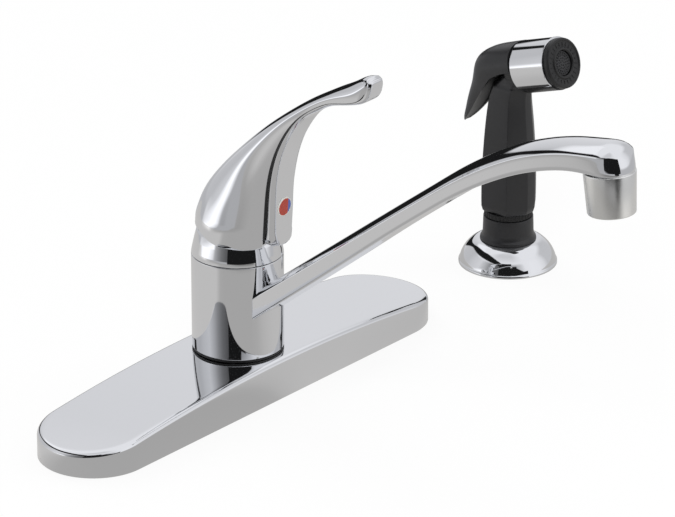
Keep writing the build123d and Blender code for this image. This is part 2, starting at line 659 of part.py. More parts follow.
with BuildPart() as handle:
    loft(sections=[handle_section(*station) for station in HANDLE_STATIONS])
    loft(sections=[panel_section(*station) for station in HANDLE_STATIONS])
    # the lower rim sweeps up at the back, so that the lever can tip
    with BuildSketch(Plane.YZ):
        with BuildLine():
            Spline(*RIM_LINE)
            Polyline(RIM_LINE[-1], (rim_reach, RIM_LINE[-1][1]), (rim_reach, 0), (-rim_reach, 0),
                     (-rim_reach, RIM_LINE[0][1]), RIM_LINE[0])
        make_face()
    extrude(amount=3 * CAP_FOOT_RADIUS, both=True, mode=Mode.SUBTRACT)
    # hollow over the cap
    with Locations(pivot):
        Sphere(SOCKET_RADIUS, mode=Mode.SUBTRACT)
    with BuildSketch(Plane.XY.offset(POCKET_TOP)):
        with Locations((0, -POCKET_OFFSET)):
            Circle(SOCKET_RADIUS)
    extrude(amount=-POCKET_TOP, mode=Mode.SUBTRACT)
    with BuildSketch(stem_plane):
        Circle(STEM_RADIUS + SEAT_GAP)
    extrude(amount=STEM_REACH + 1, mode=Mode.SUBTRACT)
    with BuildSketch(Plane.XZ.offset(-screw_point.Y)):
        with Locations((0, screw_point.Z)):
            Circle(SCREW_RADIUS + THREAD_GAP)
    extrude(amount=BUTTON_FACE, mode=Mode.SUBTRACT)
    with BuildSketch(Plane.XZ.offset(BUTTON_FACE - BUTTON_DEPTH - SEAT_GAP)):
        with Locations((0, BUTTON_HEIGHT)):
            Circle(BUTTON_RADIUS + SEAT_GAP)
    extrude(amount=2 * BUTTON_DEPTH, mode=Mode.SUBTRACT)
handle.part.label = "handle"

screw_start = -screw_point.Y + STEM_RADIUS + SCREW_RADIUS * sin(radians(STEM_LEAN)) + 2 * SEAT_GAP

with BuildPart() as set_screw:
    with BuildSketch(Plane.XZ.offset(screw_start)):
        with Locations((0, screw_point.Z)):
            Circle(SCREW_RADIUS)
    extrude(amount=SCREW_LENGTH)
    with BuildSketch(Plane.XZ.offset(screw_start + SCREW_LENGTH)):
        with Locations((0, screw_point.Z)):
            RegularPolygon(SCREW_RADIUS * 0.55, 6)
    extrude(amount=-3, mode=Mode.SUBTRACT)
set_screw.part.label = "set_screw"

with BuildPart() as temperature_button:
    with BuildSketch(Plane.XZ.offset(BUTTON_FACE - BUTTON_DEPTH)):
        with Locations((0, BUTTON_HEIGHT)):
            Circle(BUTTON_RADIUS)
    extrude(amount=BUTTON_DEPTH)
    fillet(temperature_button.edges().sort_by(Axis.Y)[0], 0.5)
temperature_button.part.label = "temperature_button"

# ================================================================ side spray holder
spray_at = (SPRAY_X, SPRAY_Y)
spray_axis = Axis((SPRAY_X, SPRAY_Y, 0), (0, 0, 1))
flange_hole = HOLDER_SHANK_RADIUS + RUN_GAP
spray_upright = Plane((SPRAY_X, SPRAY_Y, 0), x_dir=(1, 0, 0), z_dir=(0, -1, 0))

with BuildPart() as spray_flange:
    with BuildSketch(spray_upright):
        with BuildLine():
            lip = FLANGE_RADIUS - 0.8
            Polyline((FLANGE_TOP_RADIUS, FLANGE_TOP), (flange_hole, FLANGE_TOP),
                     (flange_hole, FLANGE_TOP - FLANGE_WALL), (FLANGE_TOP_RADIUS, FLANGE_TOP - FLANGE_WALL))
            RadiusArc((FLANGE_TOP_RADIUS, FLANGE_TOP - FLANGE_WALL), (lip - FLANGE_WALL, 0), FLANGE_HOLLOW)
            Polyline((lip - FLANGE_WALL, 0), (FLANGE_RADIUS, 0), (FLANGE_RADIUS, FLANGE_LIP), (lip, FLANGE_LIP))
            RadiusArc((lip, FLANGE_LIP), (FLANGE_TOP_RADIUS, FLANGE_TOP), -FLANGE_HOLLOW)
        make_face()
    revolve(axis=spray_axis)
spray_flange.part.label = "spray_flange"

collar_foot = FLANGE_TOP + SEAT_GAP

with BuildPart() as spray_holder:
    with BuildSketch(spray_upright):
        with BuildLine():
            Polyline((HOLDER_BORE, -HOLDER_SHANK_LENGTH), (HOLDER_SHANK_RADIUS, -HOLDER_SHANK_LENGTH),
                     (HOLDER_SHANK_RADIUS, collar_foot), (HOLDER_COLLAR_RADIUS, collar_foot),
                     (HOLDER_COLLAR_RADIUS, collar_foot + HOLDER_COLLAR_HEIGHT * 0.5),
                     (HOLDER_RADIUS, collar_foot + HOLDER_COLLAR_HEIGHT),
                     (HOLDER_RADIUS, HOLDER_TOP), (HOLDER_BORE, HOLDER_TOP), close=True)
        make_face()
    revolve(axis=spray_axis)
spray_holder.part.label = "spray_holder"

with BuildPart() as holder_washer:
    add(ring(HOLDER_NUT_RADIUS, HOLDER_SHANK_RADIUS + RUN_GAP, nut_face - DECK_WASHER, nut_face, *spray_at))
holder_washer.part.label = "holder_washer"

with BuildPart() as holder_nut:
    with BuildSketch(Plane.XY.offset(nut_face - DECK_WASHER)):
        with Locations(spray_at):
            RegularPolygon(HOLDER_NUT_RADIUS, 6)
            Circle(HOLDER_SHANK_RADIUS + THREAD_GAP, mode=Mode.SUBTRACT)
    extrude(amount=-NUT_THICKNESS)
    chamfer(holder_nut.edges().group_by(Axis.Z)[0].filter_by(GeomType.LINE), 1.0)
holder_nut.part.label = "holder_nut"

# ================================================================ spray wand
head_tilt = radians(HEAD_TILT)
head_dir = Vector(0, -cos(head_tilt), sin(head_tilt))
head_base = Vector(SPRAY_X, HEAD_Y, HEAD_Z)


def head_plane(along):
    """Plane across the head, a distance along its axis from the sleeve's rear edge."""
    return Plane(head_base + head_dir * along, x_dir=(1, 0, 0), z_dir=head_dir)


with BuildPart() as hose_coupling:
    with BuildSketch(spray_upright):
        with BuildLine():
            Polyline((COUPLING_BORE, COUPLING_FOOT), (COUPLING_RADIUS, COUPLING_FOOT),
                     (COUPLING_RADIUS, HOLDER_TOP + RUN_GAP), (COUPLING_COLLAR, HOLDER_TOP + RUN_GAP),
                     (COUPLING_COLLAR, GRIP_FOOT - SEAT_GAP), (COUPLING_BORE, GRIP_FOOT - SEAT_GAP), close=True)
        make_face()
    revolve(axis=spray_axis)
hose_coupling.part.label = "hose_coupling"

# planes through the head's place: seen from the side, and seen from the bowl
side_plane = Plane(head_base, x_dir=(0, 1, 0), z_dir=(1, 0, 0))
front_plane = Plane(head_base, x_dir=(1, 0, 0), z_dir=(0, -1, 0))
grip_axis = Plane((SPRAY_X, SPRAY_Y, GRIP_FOOT))
neck_foot = GRIP_STATIONS[-1][0] - 4
neck_height = HEAD_RISE - NECK_DROP - neck_foot
sleeve_gap = SLEEVE_RADIUS * sin(radians(SLEEVE_OPENING / 2))
plunger_plane = Plane(head_base + Vector(0, PLUNGER_BACK, -PLUNGER_DROP), x_dir=(1, 0, 0), z_dir=(0, -1, 0))
pin_end = TRIGGER_RADIUS - TRIGGER_CHEEK + PIN_BITE

with BuildPart() as spray_body:
    for height, corner in GRIP_STATIONS:
        with BuildSketch(grip_axis.offset(height)):
            RegularPolygon(corner, 8)
    loft(ruled=True)
    # the neck stands up into the head
    with BuildSketch(grip_axis.offset(neck_foot)):
        with Locations((0, -NECK_OFFSET)):
            Circle(NECK_RADIUS - 0.8)
    extrude(amount=neck_height)
    with BuildSketch(head_plane(-NECK_BACK)):
        Circle(NECK_RADIUS)
    extrude(amount=NECK_BACK)
    with BuildSketch(head_plane(0)):
        Circle(HEAD_CORE_RADIUS)
    extrude(amount=HEAD_CORE_LENGTH)
    # keel under the head, left bare by the sleeve
    with BuildSketch(head_plane(0)):
        Circle(SLEEVE_RADIUS - SEAT_GAP)
        with Locations((0, -SLEEVE_RADIUS)):
            Rectangle(2 * (sleeve_gap - RUN_GAP), SLEEVE_RADIUS, mode=Mode.INTERSECT)
    extrude(amount=HEAD_CORE_LENGTH)
    # waterway, plunger bore and pin bore
    with BuildSketch(grip_axis):
        Circle(COUPLING_BORE)
    extrude(amount=HEAD_RISE - NECK_DROP - 2, mode=Mode.SUBTRACT)
    with BuildSketch(head_plane(2)):
        Circle(COUPLING_BORE)
    extrude(amount=HEAD_CORE_LENGTH, mode=Mode.SUBTRACT)
    with BuildSketch(plunger_plane):
        Circle(PLUNGER_RADIUS + PLUNGER_GAP)
    extrude(amount=PLUNGER_BACK - PLUNGER_FRONT + 3, mode=Mode.SUBTRACT)
    with BuildSketch(side_plane):
        with Locations(TRIGGER_PIVOT):
            Circle(PIN_RADIUS + PIN_GAP)
    extrude(amount=pin_end, both=True, mode=Mode.SUBTRACT)
spray_body.part.label = "spray_body"

with BuildPart() as trigger_pin:
    with BuildSketch(side_plane):
        with Locations(TRIGGER_PIVOT):
            Circle(PIN_RADIUS)
    extrude(amount=pin_end - PIN_GAP, both=True)
trigger_pin.part.label = "trigger_pin"

with BuildPart() as spray_plunger:
    with BuildSketch(plunger_plane):
        Circle(PLUNGER_RADIUS)
    extrude(amount=PLUNGER_BACK - PLUNGER_FRONT)
    with BuildSketch(plunger_plane):
        Circle(PLUNGER_HEAD)
    extrude(amount=2)
    fillet(spray_plunger.edges().sort_by(Axis.Y)[-1], 0.8)
spray_plunger.part.label = "spray_plunger"

with BuildPart() as head_sleeve:
    with BuildSketch(head_plane(0)):
        Circle(SLEEVE_RADIUS)
        Circle(HEAD_CORE_RADIUS + SEAT_GAP, mode=Mode.SUBTRACT)
        with Locations((0, -SLEEVE_RADIUS)):
            Rectangle(2 * sleeve_gap, SLEEVE_RADIUS, mode=Mode.SUBTRACT)
    extrude(amount=SLEEVE_LENGTH)
head_sleeve.part.label = "head_sleeve"

with BuildPart() as nozzle_ring:
    with BuildSketch(head_plane(SLEEVE_LENGTH + SEAT_GAP)):
        Circle(NOZZLE_RADIUS)
        Circle(NOZZLE_MOUTH, mode=Mode.SUBTRACT)
    extrude(amount=NOZZLE_LENGTH)
    chamfer(nozzle_ring.edges().sort_by(Axis.Y)[:1], 0.8)
nozzle_ring.part.label = "nozzle_ring"

with BuildPart() as spray_face:
    with BuildSketch(head_plane(SLEEVE_LENGTH + SEAT_GAP)):
        Circle(NOZZLE_MOUTH - SEAT_GAP)
    extrude(amount=NOZZLE_LENGTH - 1.4)
    with BuildSketch(head_plane(SLEEVE_LENGTH + SEAT_GAP + NOZZLE_LENGTH - 1.4)):
        for radius, count in ((6.0, 14), (3.6, 9), (1.4, 4)):
            with PolarLocations(radius, count):
                Circle(0.55)
    extrude(amount=-(NOZZLE_LENGTH - 1.4), mode=Mode.SUBTRACT)
spray_face.part.label = "spray_face"

# ================================================================ spray trigger
def saddle(radius, outline):
    """An arch about the head's axis, open below, cut to an outline seen from the side."""
    with BuildPart() as made:
        with BuildSketch(head_plane(-TRIGGER_FREE)):
            Circle(radius)
            with Locations((0, -HEAD_RISE / 2)):
                Rectangle(2 * radius, HEAD_RISE)
        extrude(amount=-4 * TRIGGER_RADIUS)
        with BuildSketch(side_plane):
            add(outline)
        extrude(amount=2 * TRIGGER_RADIUS, both=True, mode=Mode.INTERSECT)
    return made.part


with BuildSketch() as trigger_outline:
    with BuildLine():
        Spline(*TRIGGER_BACK)
        Line(TRIGGER_BACK[-1], TRIGGER_FRONT[0])
        Spline(*TRIGGER_FRONT)
        Line(TRIGGER_FRONT[-1], TRIGGER_BACK[0])
    make_face()

with BuildSketch() as trigger_inside:
    with BuildLine():
        Polyline(*TRIGGER_INSIDE, close=True)
    make_face()

# a saddle over the back of the head that runs down into a lever
with BuildPart() as trigger:
    add(saddle(TRIGGER_RADIUS, trigger_outline.sketch))
    with BuildSketch(front_plane):
        with BuildLine():
            Polyline(*TRIGGER_SIDE, *[(-x, z) for x, z in reversed(TRIGGER_SIDE)], close=True)
        make_face()
    extrude(amount=3 * TRIGGER_HOLLOW, both=True, mode=Mode.INTERSECT)
    add(saddle(TRIGGER_RADIUS - TRIGGER_CHEEK, trigger_inside.sketch), mode=Mode.SUBTRACT)
    with BuildSketch(grip_axis.offset(HEAD_RISE + TRIGGER_HOLLOW_FOOT)):
        Circle(TRIGGER_HOLLOW)
    extrude(amount=TRIGGER_INSIDE[-1][1] - TRIGGER_HOLLOW_FOOT + 1, mode=Mode.SUBTRACT)
    with BuildSketch(side_plane):
        with Locations(TRIGGER_PIVOT):
            Circle(PIN_RADIUS + PIN_GAP)
    extrude(amount=pin_end, both=True, mode=Mode.SUBTRACT)
trigger.part.label = "trigger"

groups = [
    deck_plate, base_gasket, valve_body, shank_washers, shank_nuts, diverter, valve_seats, seat_springs,
    packing_ring, ball, cap, cam, adjusting_ring, spout, glide_ring, spout_rings, aerator_shell,
    aerator_screen, aerator_washer, handle, set_screw, temperature_button, spray_flange, spray_holder,
    holder_washer, holder_nut, hose_coupling, spray_body, head_sleeve, nozzle_ring, spray_face, trigger_pin,
    spray_plunger, trigger,
]
for group in groups:
    export_step(group.part, f"parts/{group.part.label}.step")
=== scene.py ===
import math

import bpy
import numpy as np
from mathutils import Matrix, Vector


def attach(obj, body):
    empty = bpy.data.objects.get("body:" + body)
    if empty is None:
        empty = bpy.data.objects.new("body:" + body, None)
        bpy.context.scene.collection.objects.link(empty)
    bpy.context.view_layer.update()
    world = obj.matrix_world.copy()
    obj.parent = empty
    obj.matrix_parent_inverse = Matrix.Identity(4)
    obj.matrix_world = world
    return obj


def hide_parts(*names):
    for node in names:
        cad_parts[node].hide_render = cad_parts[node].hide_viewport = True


# Kitchen faucet with a side spray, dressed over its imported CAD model.
# Lengths are in millimetres unless a note says otherwise. The spout points along -Y.
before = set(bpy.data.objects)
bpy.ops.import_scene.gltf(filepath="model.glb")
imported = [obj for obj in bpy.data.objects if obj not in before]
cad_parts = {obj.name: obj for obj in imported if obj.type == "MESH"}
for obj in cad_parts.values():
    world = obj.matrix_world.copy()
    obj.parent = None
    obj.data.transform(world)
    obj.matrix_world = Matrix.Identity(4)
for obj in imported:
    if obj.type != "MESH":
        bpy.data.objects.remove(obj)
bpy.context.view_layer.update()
mm = 0.001
bpy.ops.object.select_all(action="DESELECT")


# camera, fitted to the photograph
camera = {
    "place": (-1728.8, -1475.8, 1015.5),
    "target": (47.94, -21.92, 55.53),
    "lens": 277.6,  # on a 36 mm sensor
}

bpy.ops.object.camera_add(location=Vector(camera["place"]) * mm)
viewer = bpy.context.object
viewer.data.lens = camera["lens"]
viewer.data.clip_end = 20
sightLine = Vector(camera["target"]) - Vector(camera["place"])
viewer.rotation_euler = sightLine.to_track_quat("-Z", "Y").to_euler()
bpy.context.scene.camera = viewer
print("camera set")


# finishes

def toLinear(hexText):
    parts = [int(hexText[i:i + 2], 16) / 255 for i in (1, 3, 5)]
    return [c / 12.92 if c <= 0.04045 else ((c + 0.055) / 1.055) ** 2.4 for c in parts] + [1]


def addNode(tree, kind, settings=None, links=None):
    node = tree.nodes.new(kind)
    for name, value in (settings or {}).items():
        if isinstance(name, int) or name in node.inputs:
            node.inputs[name].default_value = value
        else:
            setattr(node, name, value)
    for name, source in (links or {}).items():
        tree.links.new(source, node.inputs[name])
    return node


def newFinish(name, settings):
    finish = bpy.data.materials.new(name)
    finish.use_nodes = True
    tree = finish.node_tree
    tree.nodes.clear()
    shader = addNode(tree, "ShaderNodeBsdfPrincipled", settings)
    addNode(tree, "ShaderNodeOutputMaterial", links={"Surface": shader.outputs[0]})
    place = addNode(tree, "ShaderNodeTexCoord").outputs["Object"]
    return finish, tree, shader, place


def roughenWith(tree, shader, place, grain, low, high, depth):
    # grain is the spacing of the marks in mm, and depth how far they stand out
    marks = addNode(tree, "ShaderNodeTexNoise", {"Scale": 1000 / grain, "Detail": 4.0}, {"Vector": place})
    spread = addNode(tree, "ShaderNodeMapRange", {"To Min": low, "To Max": high},
                     {"Value": marks.outputs["Fac"]})
    tree.links.new(spread.outputs[0], shader.inputs["Roughness"])
    if depth:
        relief = addNode(tree, "ShaderNodeBump", {"Strength": 0.5, "Distance": depth * mm},
                         {"Height": marks.outputs["Fac"]})
        tree.links.new(relief.outputs[0], shader.inputs["Normal"])


def chromePlate(name, colour, low, high):
    # bright chrome over polished zinc: a mirror with faint wiping haze
    finish, tree, shader, place = newFinish(name, {"Base Color": toLinear(colour), "Metallic": 1.0})
    roughenWith(tree, shader, place, 9.0, low, high, 0)
    return finish


def mouldedPlastic(name, colour, low, high, grain, depth):
    # injection-moulded ABS: dark, with a fine satin grain that breaks up its highlights
    finish, tree, shader, place = newFinish(name, {"Base Color": toLinear(colour), "IOR": 1.5})
    roughenWith(tree, shader, place, grain, low, high, depth)
    return finish


def innerMetal(name, colour, low, high, grain, depth):
    # cast or turned metal inside the valve: dull, with fine tool marks
    finish, tree, shader, place = newFinish(name, {"Base Color": toLinear(colour), "Metallic": 1.0})
    roughenWith(tree, shader, place, grain, low, high, depth)
    return finish


def temperaturePrint(name, hot, cold, edge):
    # pad-printed acrylic: red over most of the disc, blue beyond an upright edge at x = edge
    finish, tree, shader, place = newFinish(name, {"Roughness": 0.18, "IOR": 1.49})
    side = addNode(tree, "ShaderNodeSeparateXYZ", links={0: place})
    past = addNode(tree, "ShaderNodeMath", {"operation": "GREATER_THAN", 1: edge * mm},
                   {0: side.outputs["X"]})
    paint = addNode(tree, "ShaderNodeMix", {"data_type": "RGBA", 6: toLinear(hot), 7: toLinear(cold)},
                    {0: past.outputs[0]})
    tree.links.new(paint.outputs[2], shader.inputs["Base Color"])
    return finish


chrome = chromePlate("chrome on zinc", "#e3e4e6", 0.035, 0.06)
satinChrome = chromePlate("satin chrome", "#ececea", 0.26, 0.28)
blackAbs = mouldedPlastic("black ABS", "#1d1d1f", 0.30, 0.42, 0.9, 0.02)
# dark moulded plastic, also laid on the strip in the handle's recess as painted shade
darkAbsAndShade = mouldedPlastic("dark acetal", "#121213", 0.38, 0.5, 0.7, 0.02)
greyAbs = mouldedPlastic("grey spray face", "#2b2b2d", 0.45, 0.6, 0.8, 0.03)
rubber = mouldedPlastic("nitrile rubber", "#161616", 0.6, 0.75, 0.6, 0.02)
buttonPaint = temperaturePrint("printed acrylic", "#ad3a28", "#4a62ac", 2.2)
brass = innerMetal("cast brass", "#b89a5a", 0.25, 0.4, 1.2, 0.02)
steel = innerMetal("stainless steel", "#b9bbbe", 0.25, 0.35, 0.8, 0.01)
whiteAbs = mouldedPlastic("white acetal", "#dcdcd6", 0.35, 0.45, 1.0, 0.01)
print("finishes made")


# shaping helpers

def smoothThrough(stations, steps):
    # a natural cubic curve through given rows of numbers, steps points to each gap
    rows = np.array(stations, float)
    spans = np.sqrt(np.linalg.norm(np.diff(rows, axis=0), axis=1))
    count = len(rows)
    left = np.eye(count)
    right = np.zeros_like(rows)
    for i in range(1, count - 1):
        left[i, i - 1:i + 2] = spans[i - 1], 2 * (spans[i - 1] + spans[i]), spans[i]
        right[i] = 6 * ((rows[i + 1] - rows[i]) / spans[i] - (rows[i] - rows[i - 1]) / spans[i - 1])
    bend = np.linalg.solve(left, right)
    made = []
    for i in range(count - 1):
        for t in np.linspace(0, 1, steps, endpoint=False):
            h, a, b = spans[i], 1 - t, t
            made.append(a * rows[i] + b * rows[i + 1]
                        + ((a ** 3 - a) * bend[i] + (b ** 3 - b) * bend[i + 1]) * h * h / 6)
    return np.array(made + [rows[-1]])


def softCorners(points, radii, steps=5, closed=False):
    # rounds the corners of a flat line of points; radii is one number, or one for each point
    made = []
    last = len(points) - 1
    for i, corner in enumerate(points):
        radius = radii if isinstance(radii, (int, float)) else radii[i]
        if radius <= 0 or (not closed and i in (0, last)):
            made.append(tuple(corner))
            continue
        here = np.array(corner, float)
        before = np.array(points[i - 1], float) - here
        after = np.array(points[(i + 1) % len(points)], float) - here
        reachBefore, reachAfter = np.linalg.norm(before), np.linalg.norm(after)
        before, after = before / reachBefore, after / reachAfter
        half = math.acos(max(-1, min(1, float(before @ after)))) / 2
        cut = min(radius / math.tan(half), reachBefore * 0.49, reachAfter * 0.49)
        start, end = here + before * cut, here + after * cut
        middle = here * 0.88 + (start + end) * 0.06  # drawn in a little, so that the bend is nearly round
        for t in np.linspace(0, 1, steps):
            made.append(tuple((1 - t) ** 2 * start + 2 * t * (1 - t) * middle + t * t * end))
    return made


def pullGrid(name, rows, closed=False):
    # a grid primitive pulled into shape row by row, its seam and poles merged
    rows = [[tuple(point) for point in row] for row in rows]
    if closed:
        rows = [row + row[:1] for row in rows]
    bpy.ops.object.select_all(action="DESELECT")
    bpy.ops.mesh.primitive_grid_add(x_subdivisions=len(rows[0]) - 1, y_subdivisions=len(rows) - 1, size=1)
    piece = bpy.context.object
    piece.name = piece.data.name = name
    places = [point for row in rows for point in row]
    for vertex, point in zip(piece.data.vertices, places, strict=True):
        vertex.co = Vector(point) * mm
    tidyMesh()
    return piece


def tidyMesh():
    bpy.ops.object.mode_set(mode="EDIT")
    bpy.ops.mesh.select_all(action="SELECT")
    bpy.ops.mesh.remove_doubles(threshold=0.000004)
    bpy.ops.mesh.normals_make_consistent(inside=False)
    bpy.ops.object.mode_set(mode="OBJECT")


def fillOpenEdges(piece):
    bpy.ops.object.mode_set(mode="EDIT")
    bpy.ops.mesh.select_mode(type="EDGE")
    bpy.ops.mesh.select_all(action="DESELECT")
    bpy.ops.mesh.select_non_manifold(extend=False, use_wire=False, use_multi_face=False,
                                     use_non_contiguous=False, use_verts=False)
    bpy.ops.mesh.edge_face_add()
    bpy.ops.mesh.select_all(action="SELECT")
    bpy.ops.mesh.normals_make_consistent(inside=False)
    bpy.ops.object.mode_set(mode="OBJECT")


def closeEnds(rows):
    # adds a point at each end of an open run of rows
    first, last = [[tuple(sum(row, Vector()) / len(row))] * len(row) for row in (rows[0], rows[-1])]
    return [first] + rows + [last]


def lathe(name, profile, place, steps=144):
    # profile holds (radius, height) about the place's own Z axis
    rows = []
    for radius, height in profile:
        rows.append([place @ Vector((radius * math.cos(a), radius * math.sin(a), height))
                     for a in np.linspace(0, 2 * math.pi, steps, endpoint=False)])
    return pullGrid(name, rows, closed=True)


def joinPieces(first, *others):
    bpy.ops.object.select_all(action="DESELECT")
    for piece in (first, *others):
        piece.select_set(True)
    bpy.context.view_layer.objects.active = first
    bpy.ops.object.join()
    return first


def handOver(piece, finish, body, slotName, *nodes, crease=35):
    # gives a finished piece its material and its place in the frame
    bpy.ops.object.select_all(action="DESELECT")
    piece.select_set(True)
    bpy.context.view_layer.objects.active = piece
    bpy.ops.object.shade_smooth_by_angle(angle=math.radians(crease))
    piece.data.materials.clear()
    piece.data.materials.append(finish)
    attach(piece, body)
    if nodes:
        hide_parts(*nodes)
    piece.select_set(False)


def uprightAt(x, y):
    return Matrix.Translation((x, y, 0))


# deck plate

plate = {
    "length": 259.0, "width": 54.0,
    "crown": 20.6, "ends": 11.9,  # height in the middle, and where the half-round ends stop
    "edge": 2.6, "wall": 1.6, "foot": 0.4,  # rounding of the top edge, thickness, chamfer at the deck
}


def plateTop(x):
    drop = plate["crown"] - plate["ends"]
    half = plate["length"] / 2
    radius = (half ** 2 + drop ** 2) / (2 * drop)
    return plate["crown"] - radius + math.sqrt(radius ** 2 - x ** 2)


def plateRow(inset, heightAt, steps=40):
    # the plate's outline, set in by inset
    reach = plate["length"] / 2 - plate["width"] / 2
    radius = plate["width"] / 2 - inset
    row = []
    for side in (1, -1):
        for a in np.linspace(-math.pi / 2, math.pi / 2, steps, endpoint=False):
            row.append((side * (reach + radius * math.cos(a)), side * radius * math.sin(a)))
        for t in np.linspace(1, -1, steps, endpoint=False):
            row.append((side * reach * t, side * radius))
    return [(x, y, heightAt(x)) for x, y in row]


# from the middle of the hollow underside, down to the foot and up over the edge to the middle of the top
rows = [plateRow(inset, lambda x: plateTop(x) - plate["wall"]) for inset in (27.0, 16.0, 6.0, 3.0, 1.8)]
rows.append(plateRow(plate["wall"], lambda x: plateTop(x) - plate["wall"] - 0.6))
rows.append(plateRow(plate["wall"], lambda x: 0))
rows.append(plateRow(plate["foot"], lambda x: 0))
rows.append(plateRow(0, lambda x: plate["foot"]))
for a in np.linspace(0, math.pi / 2, 9):
    rows.append(plateRow(plate["edge"] * (1 - math.cos(a)),
                         lambda x: plateTop(x) - plate["edge"] * (1 - math.sin(a))))
for inset in (4.0, 7.0, 11.0, 15.0, 19.0, 23.0, 27.0):
    rows.append(plateRow(inset, plateTop))
handOver(pullGrid("deckPlate", rows, closed=True), chrome, "base", "chrome", "deck_plate", crease=50)

hubAxis = uprightAt(0, 0)
glideProfile = [(17.4, 20.7), (21.7, 20.7), (21.9, 20.9), (21.9, 21.6), (21.7, 21.75), (17.4, 21.75), (17.4, 20.7)]
handOver(lathe("glideRing", glideProfile, hubAxis), darkAbsAndShade, "base", "glide_plastic", "glide_ring")
print("deck plate made")


# spout: a sleeve round the valve body, and an arm with flat sides and a crowned top

arm = {
    "halfWidth": 11.6, "lowRound": 1.5, "topRound": 0.9,
    "end": 216.4, "root": 19.5,  # where the half-round end starts, and where the arm starts inside the hub
    # where the wall starts to lean in, and how far it has come where the half-round starts
    "blend": (203, 0.25),
    # the wall and crown at the very tip: distance from the half-round's axis, height
    "tip": [(11.5, 167.0), (11.25, 168.6), (10.85, 170.5), (10.15, 173.0), (9.3, 174.8), (8.0, 176.5),
            (6.1, 177.8), (3.2, 178.6), (0, 178.7)],
    # distance from the hub's axis, underside, side top, ridge
    "stations": [(14, 38.6, 49.7, 53.4), (40, 59.1, 69.3, 73.4), (70, 82.8, 92.0, 96.4),
                 (100, 106.8, 115.0, 119.4), (120, 122.1, 130.0, 134.6), (135, 133.2, 141.0, 145.9),
                 (150, 142.9, 150.9, 155.8), (165, 151.2, 159.4, 164.2), (180, 157.8, 166.1, 170.6),
                 (195, 162.5, 170.8, 174.9), (206, 164.4, 172.9, 177.0), (216.4, 164.9, 174.0, 178.7)],
}


def crownRadius(side, ridge):
    half, rise = arm["halfWidth"], ridge - side
    return (half ** 2 + rise ** 2) / (2 * rise)


def crownDrop(x, side, ridge):
    # how far the crowned top lies below its ridge, x from the middle
    radius = crownRadius(side, ridge)
    return radius - math.sqrt(radius ** 2 - x ** 2)


def armProfile(low, side, ridge):
    # half of the arm's section, from the middle of its underside up to its ridge
    half = arm["halfWidth"]
    radius = crownRadius(side, ridge)
    spread = math.asin(half / radius)
    crown = [(radius * math.sin(spread * t), ridge - radius + radius * math.cos(spread * t))
             for t in (0.8, 0.6, 0.4, 0.2, 0)]
    wall = [(half, low + (side - low) * t) for t in (0.3, 0.45, 0.6, 0.75)]
    points = [(0, low), (4, low), (8, low), (half, low)] + wall + [(half, side)] + crown
    return softCorners(points, [0, 0, 0, arm["lowRound"], 0, 0, 0, 0, arm["topRound"], 0, 0, 0, 0, 0])


stations = smoothThrough(arm["stations"], 5)
profiles = [armProfile(low, side, ridge) for _, low, side, ridge in stations]
lastTop = arm["stations"][-1][2:]
# how far up the wall and over the crown each point of the last outline lies, and each point of the tip's
wallStart = next(k for k, point in enumerate(profiles[-1]) if point[0] > arm["halfWidth"] - 0.01)
strides = [math.dist(a, b) for a, b in zip(profiles[-1][wallStart:], profiles[-1][wallStart + 1:])]
shares = np.concatenate(([0], np.cumsum(strides))) / sum(strides)
tipLine = [profiles[-1][wallStart]] + arm["tip"]
tipStrides = [math.dist(a, b) for a, b in zip(tipLine, tipLine[1:])]
tipShares = np.concatenate(([0], np.cumsum(tipStrides))) / sum(tipStrides)


def towardsTip(k, height, blend, cosine):
    # a point of outline k, led over into the tip's outline; the crown runs on across the half-round end
    out, last = profiles[-1][k]
    if k < wallStart:
        return out, height
    tipOut = np.interp(shares[k - wallStart], tipShares, [point[0] for point in tipLine])
    tipHeight = np.interp(shares[k - wallStart], tipShares, [point[1] for point in tipLine])
    near = out * (1 - blend) + tipOut * blend
    lift = crownDrop(out, *lastTop) - crownDrop(near * cosine, *lastTop) if last > lastTop[0] - 2 else 0
    return near, (height + lift) * (1 - blend) + tipHeight * blend


rows = []
blendFrom, blendShare = arm["blend"]
for k in range(len(profiles[0])):
    start = math.sqrt(arm["root"] ** 2 - profiles[-1][k][0] ** 2)
    line = []
    for distance, *_ in stations:
        away = max(distance, start)
        height = np.interp(away, [s[0] for s in stations], [p[k][1] for p in profiles])
        begun = max(0, (away - blendFrom) / (arm["end"] - blendFrom))
        near, z = towardsTip(k, height, blendShare * begun ** 2, 1)
        line.append((near, -away, z))
    bow = []
    for a in np.linspace(0, math.pi, 41)[1:-1]:
        rounded = 0.45 * math.sin(a) + 0.55 * math.sin(a) ** 2  # how far the wall leans, from its side to the tip
        near, z = towardsTip(k, profiles[-1][k][1], blendShare + (1 - blendShare) * rounded, math.cos(a))
        bow.append((near * math.cos(a), -arm["end"] - near * math.sin(a), z))
    rows.append(line + bow + [(-x, y, z) for x, y, z in reversed(line)])
armPiece = pullGrid("spoutArm", rows)
fillOpenEdges(armPiece)
hubProfile = softCorners([(17.2, 40), (17.2, 21.95), (22.0, 21.95), (22.0, 68.9), (17.2, 68.9), (17.2, 40)],
                         [0, 0.2, 0.35, 0.35, 0.2, 0])
hub = lathe("hub", hubProfile, hubAxis)
handOver(joinPieces(armPiece, hub), chrome, "spout_arm", "chrome", "spout")
print("spout made")

aerator = {"top": (0, -216.4, 164.9), "tilt": 5.0, "length": 19.8, "topRadius": 12.0, "mouthRadius": 11.0}
aeratorTurn = Matrix.Rotation(math.radians(180 - aerator["tilt"]), 4, "X")
aeratorPlace = Matrix.Translation(aerator["top"]) @ aeratorTurn
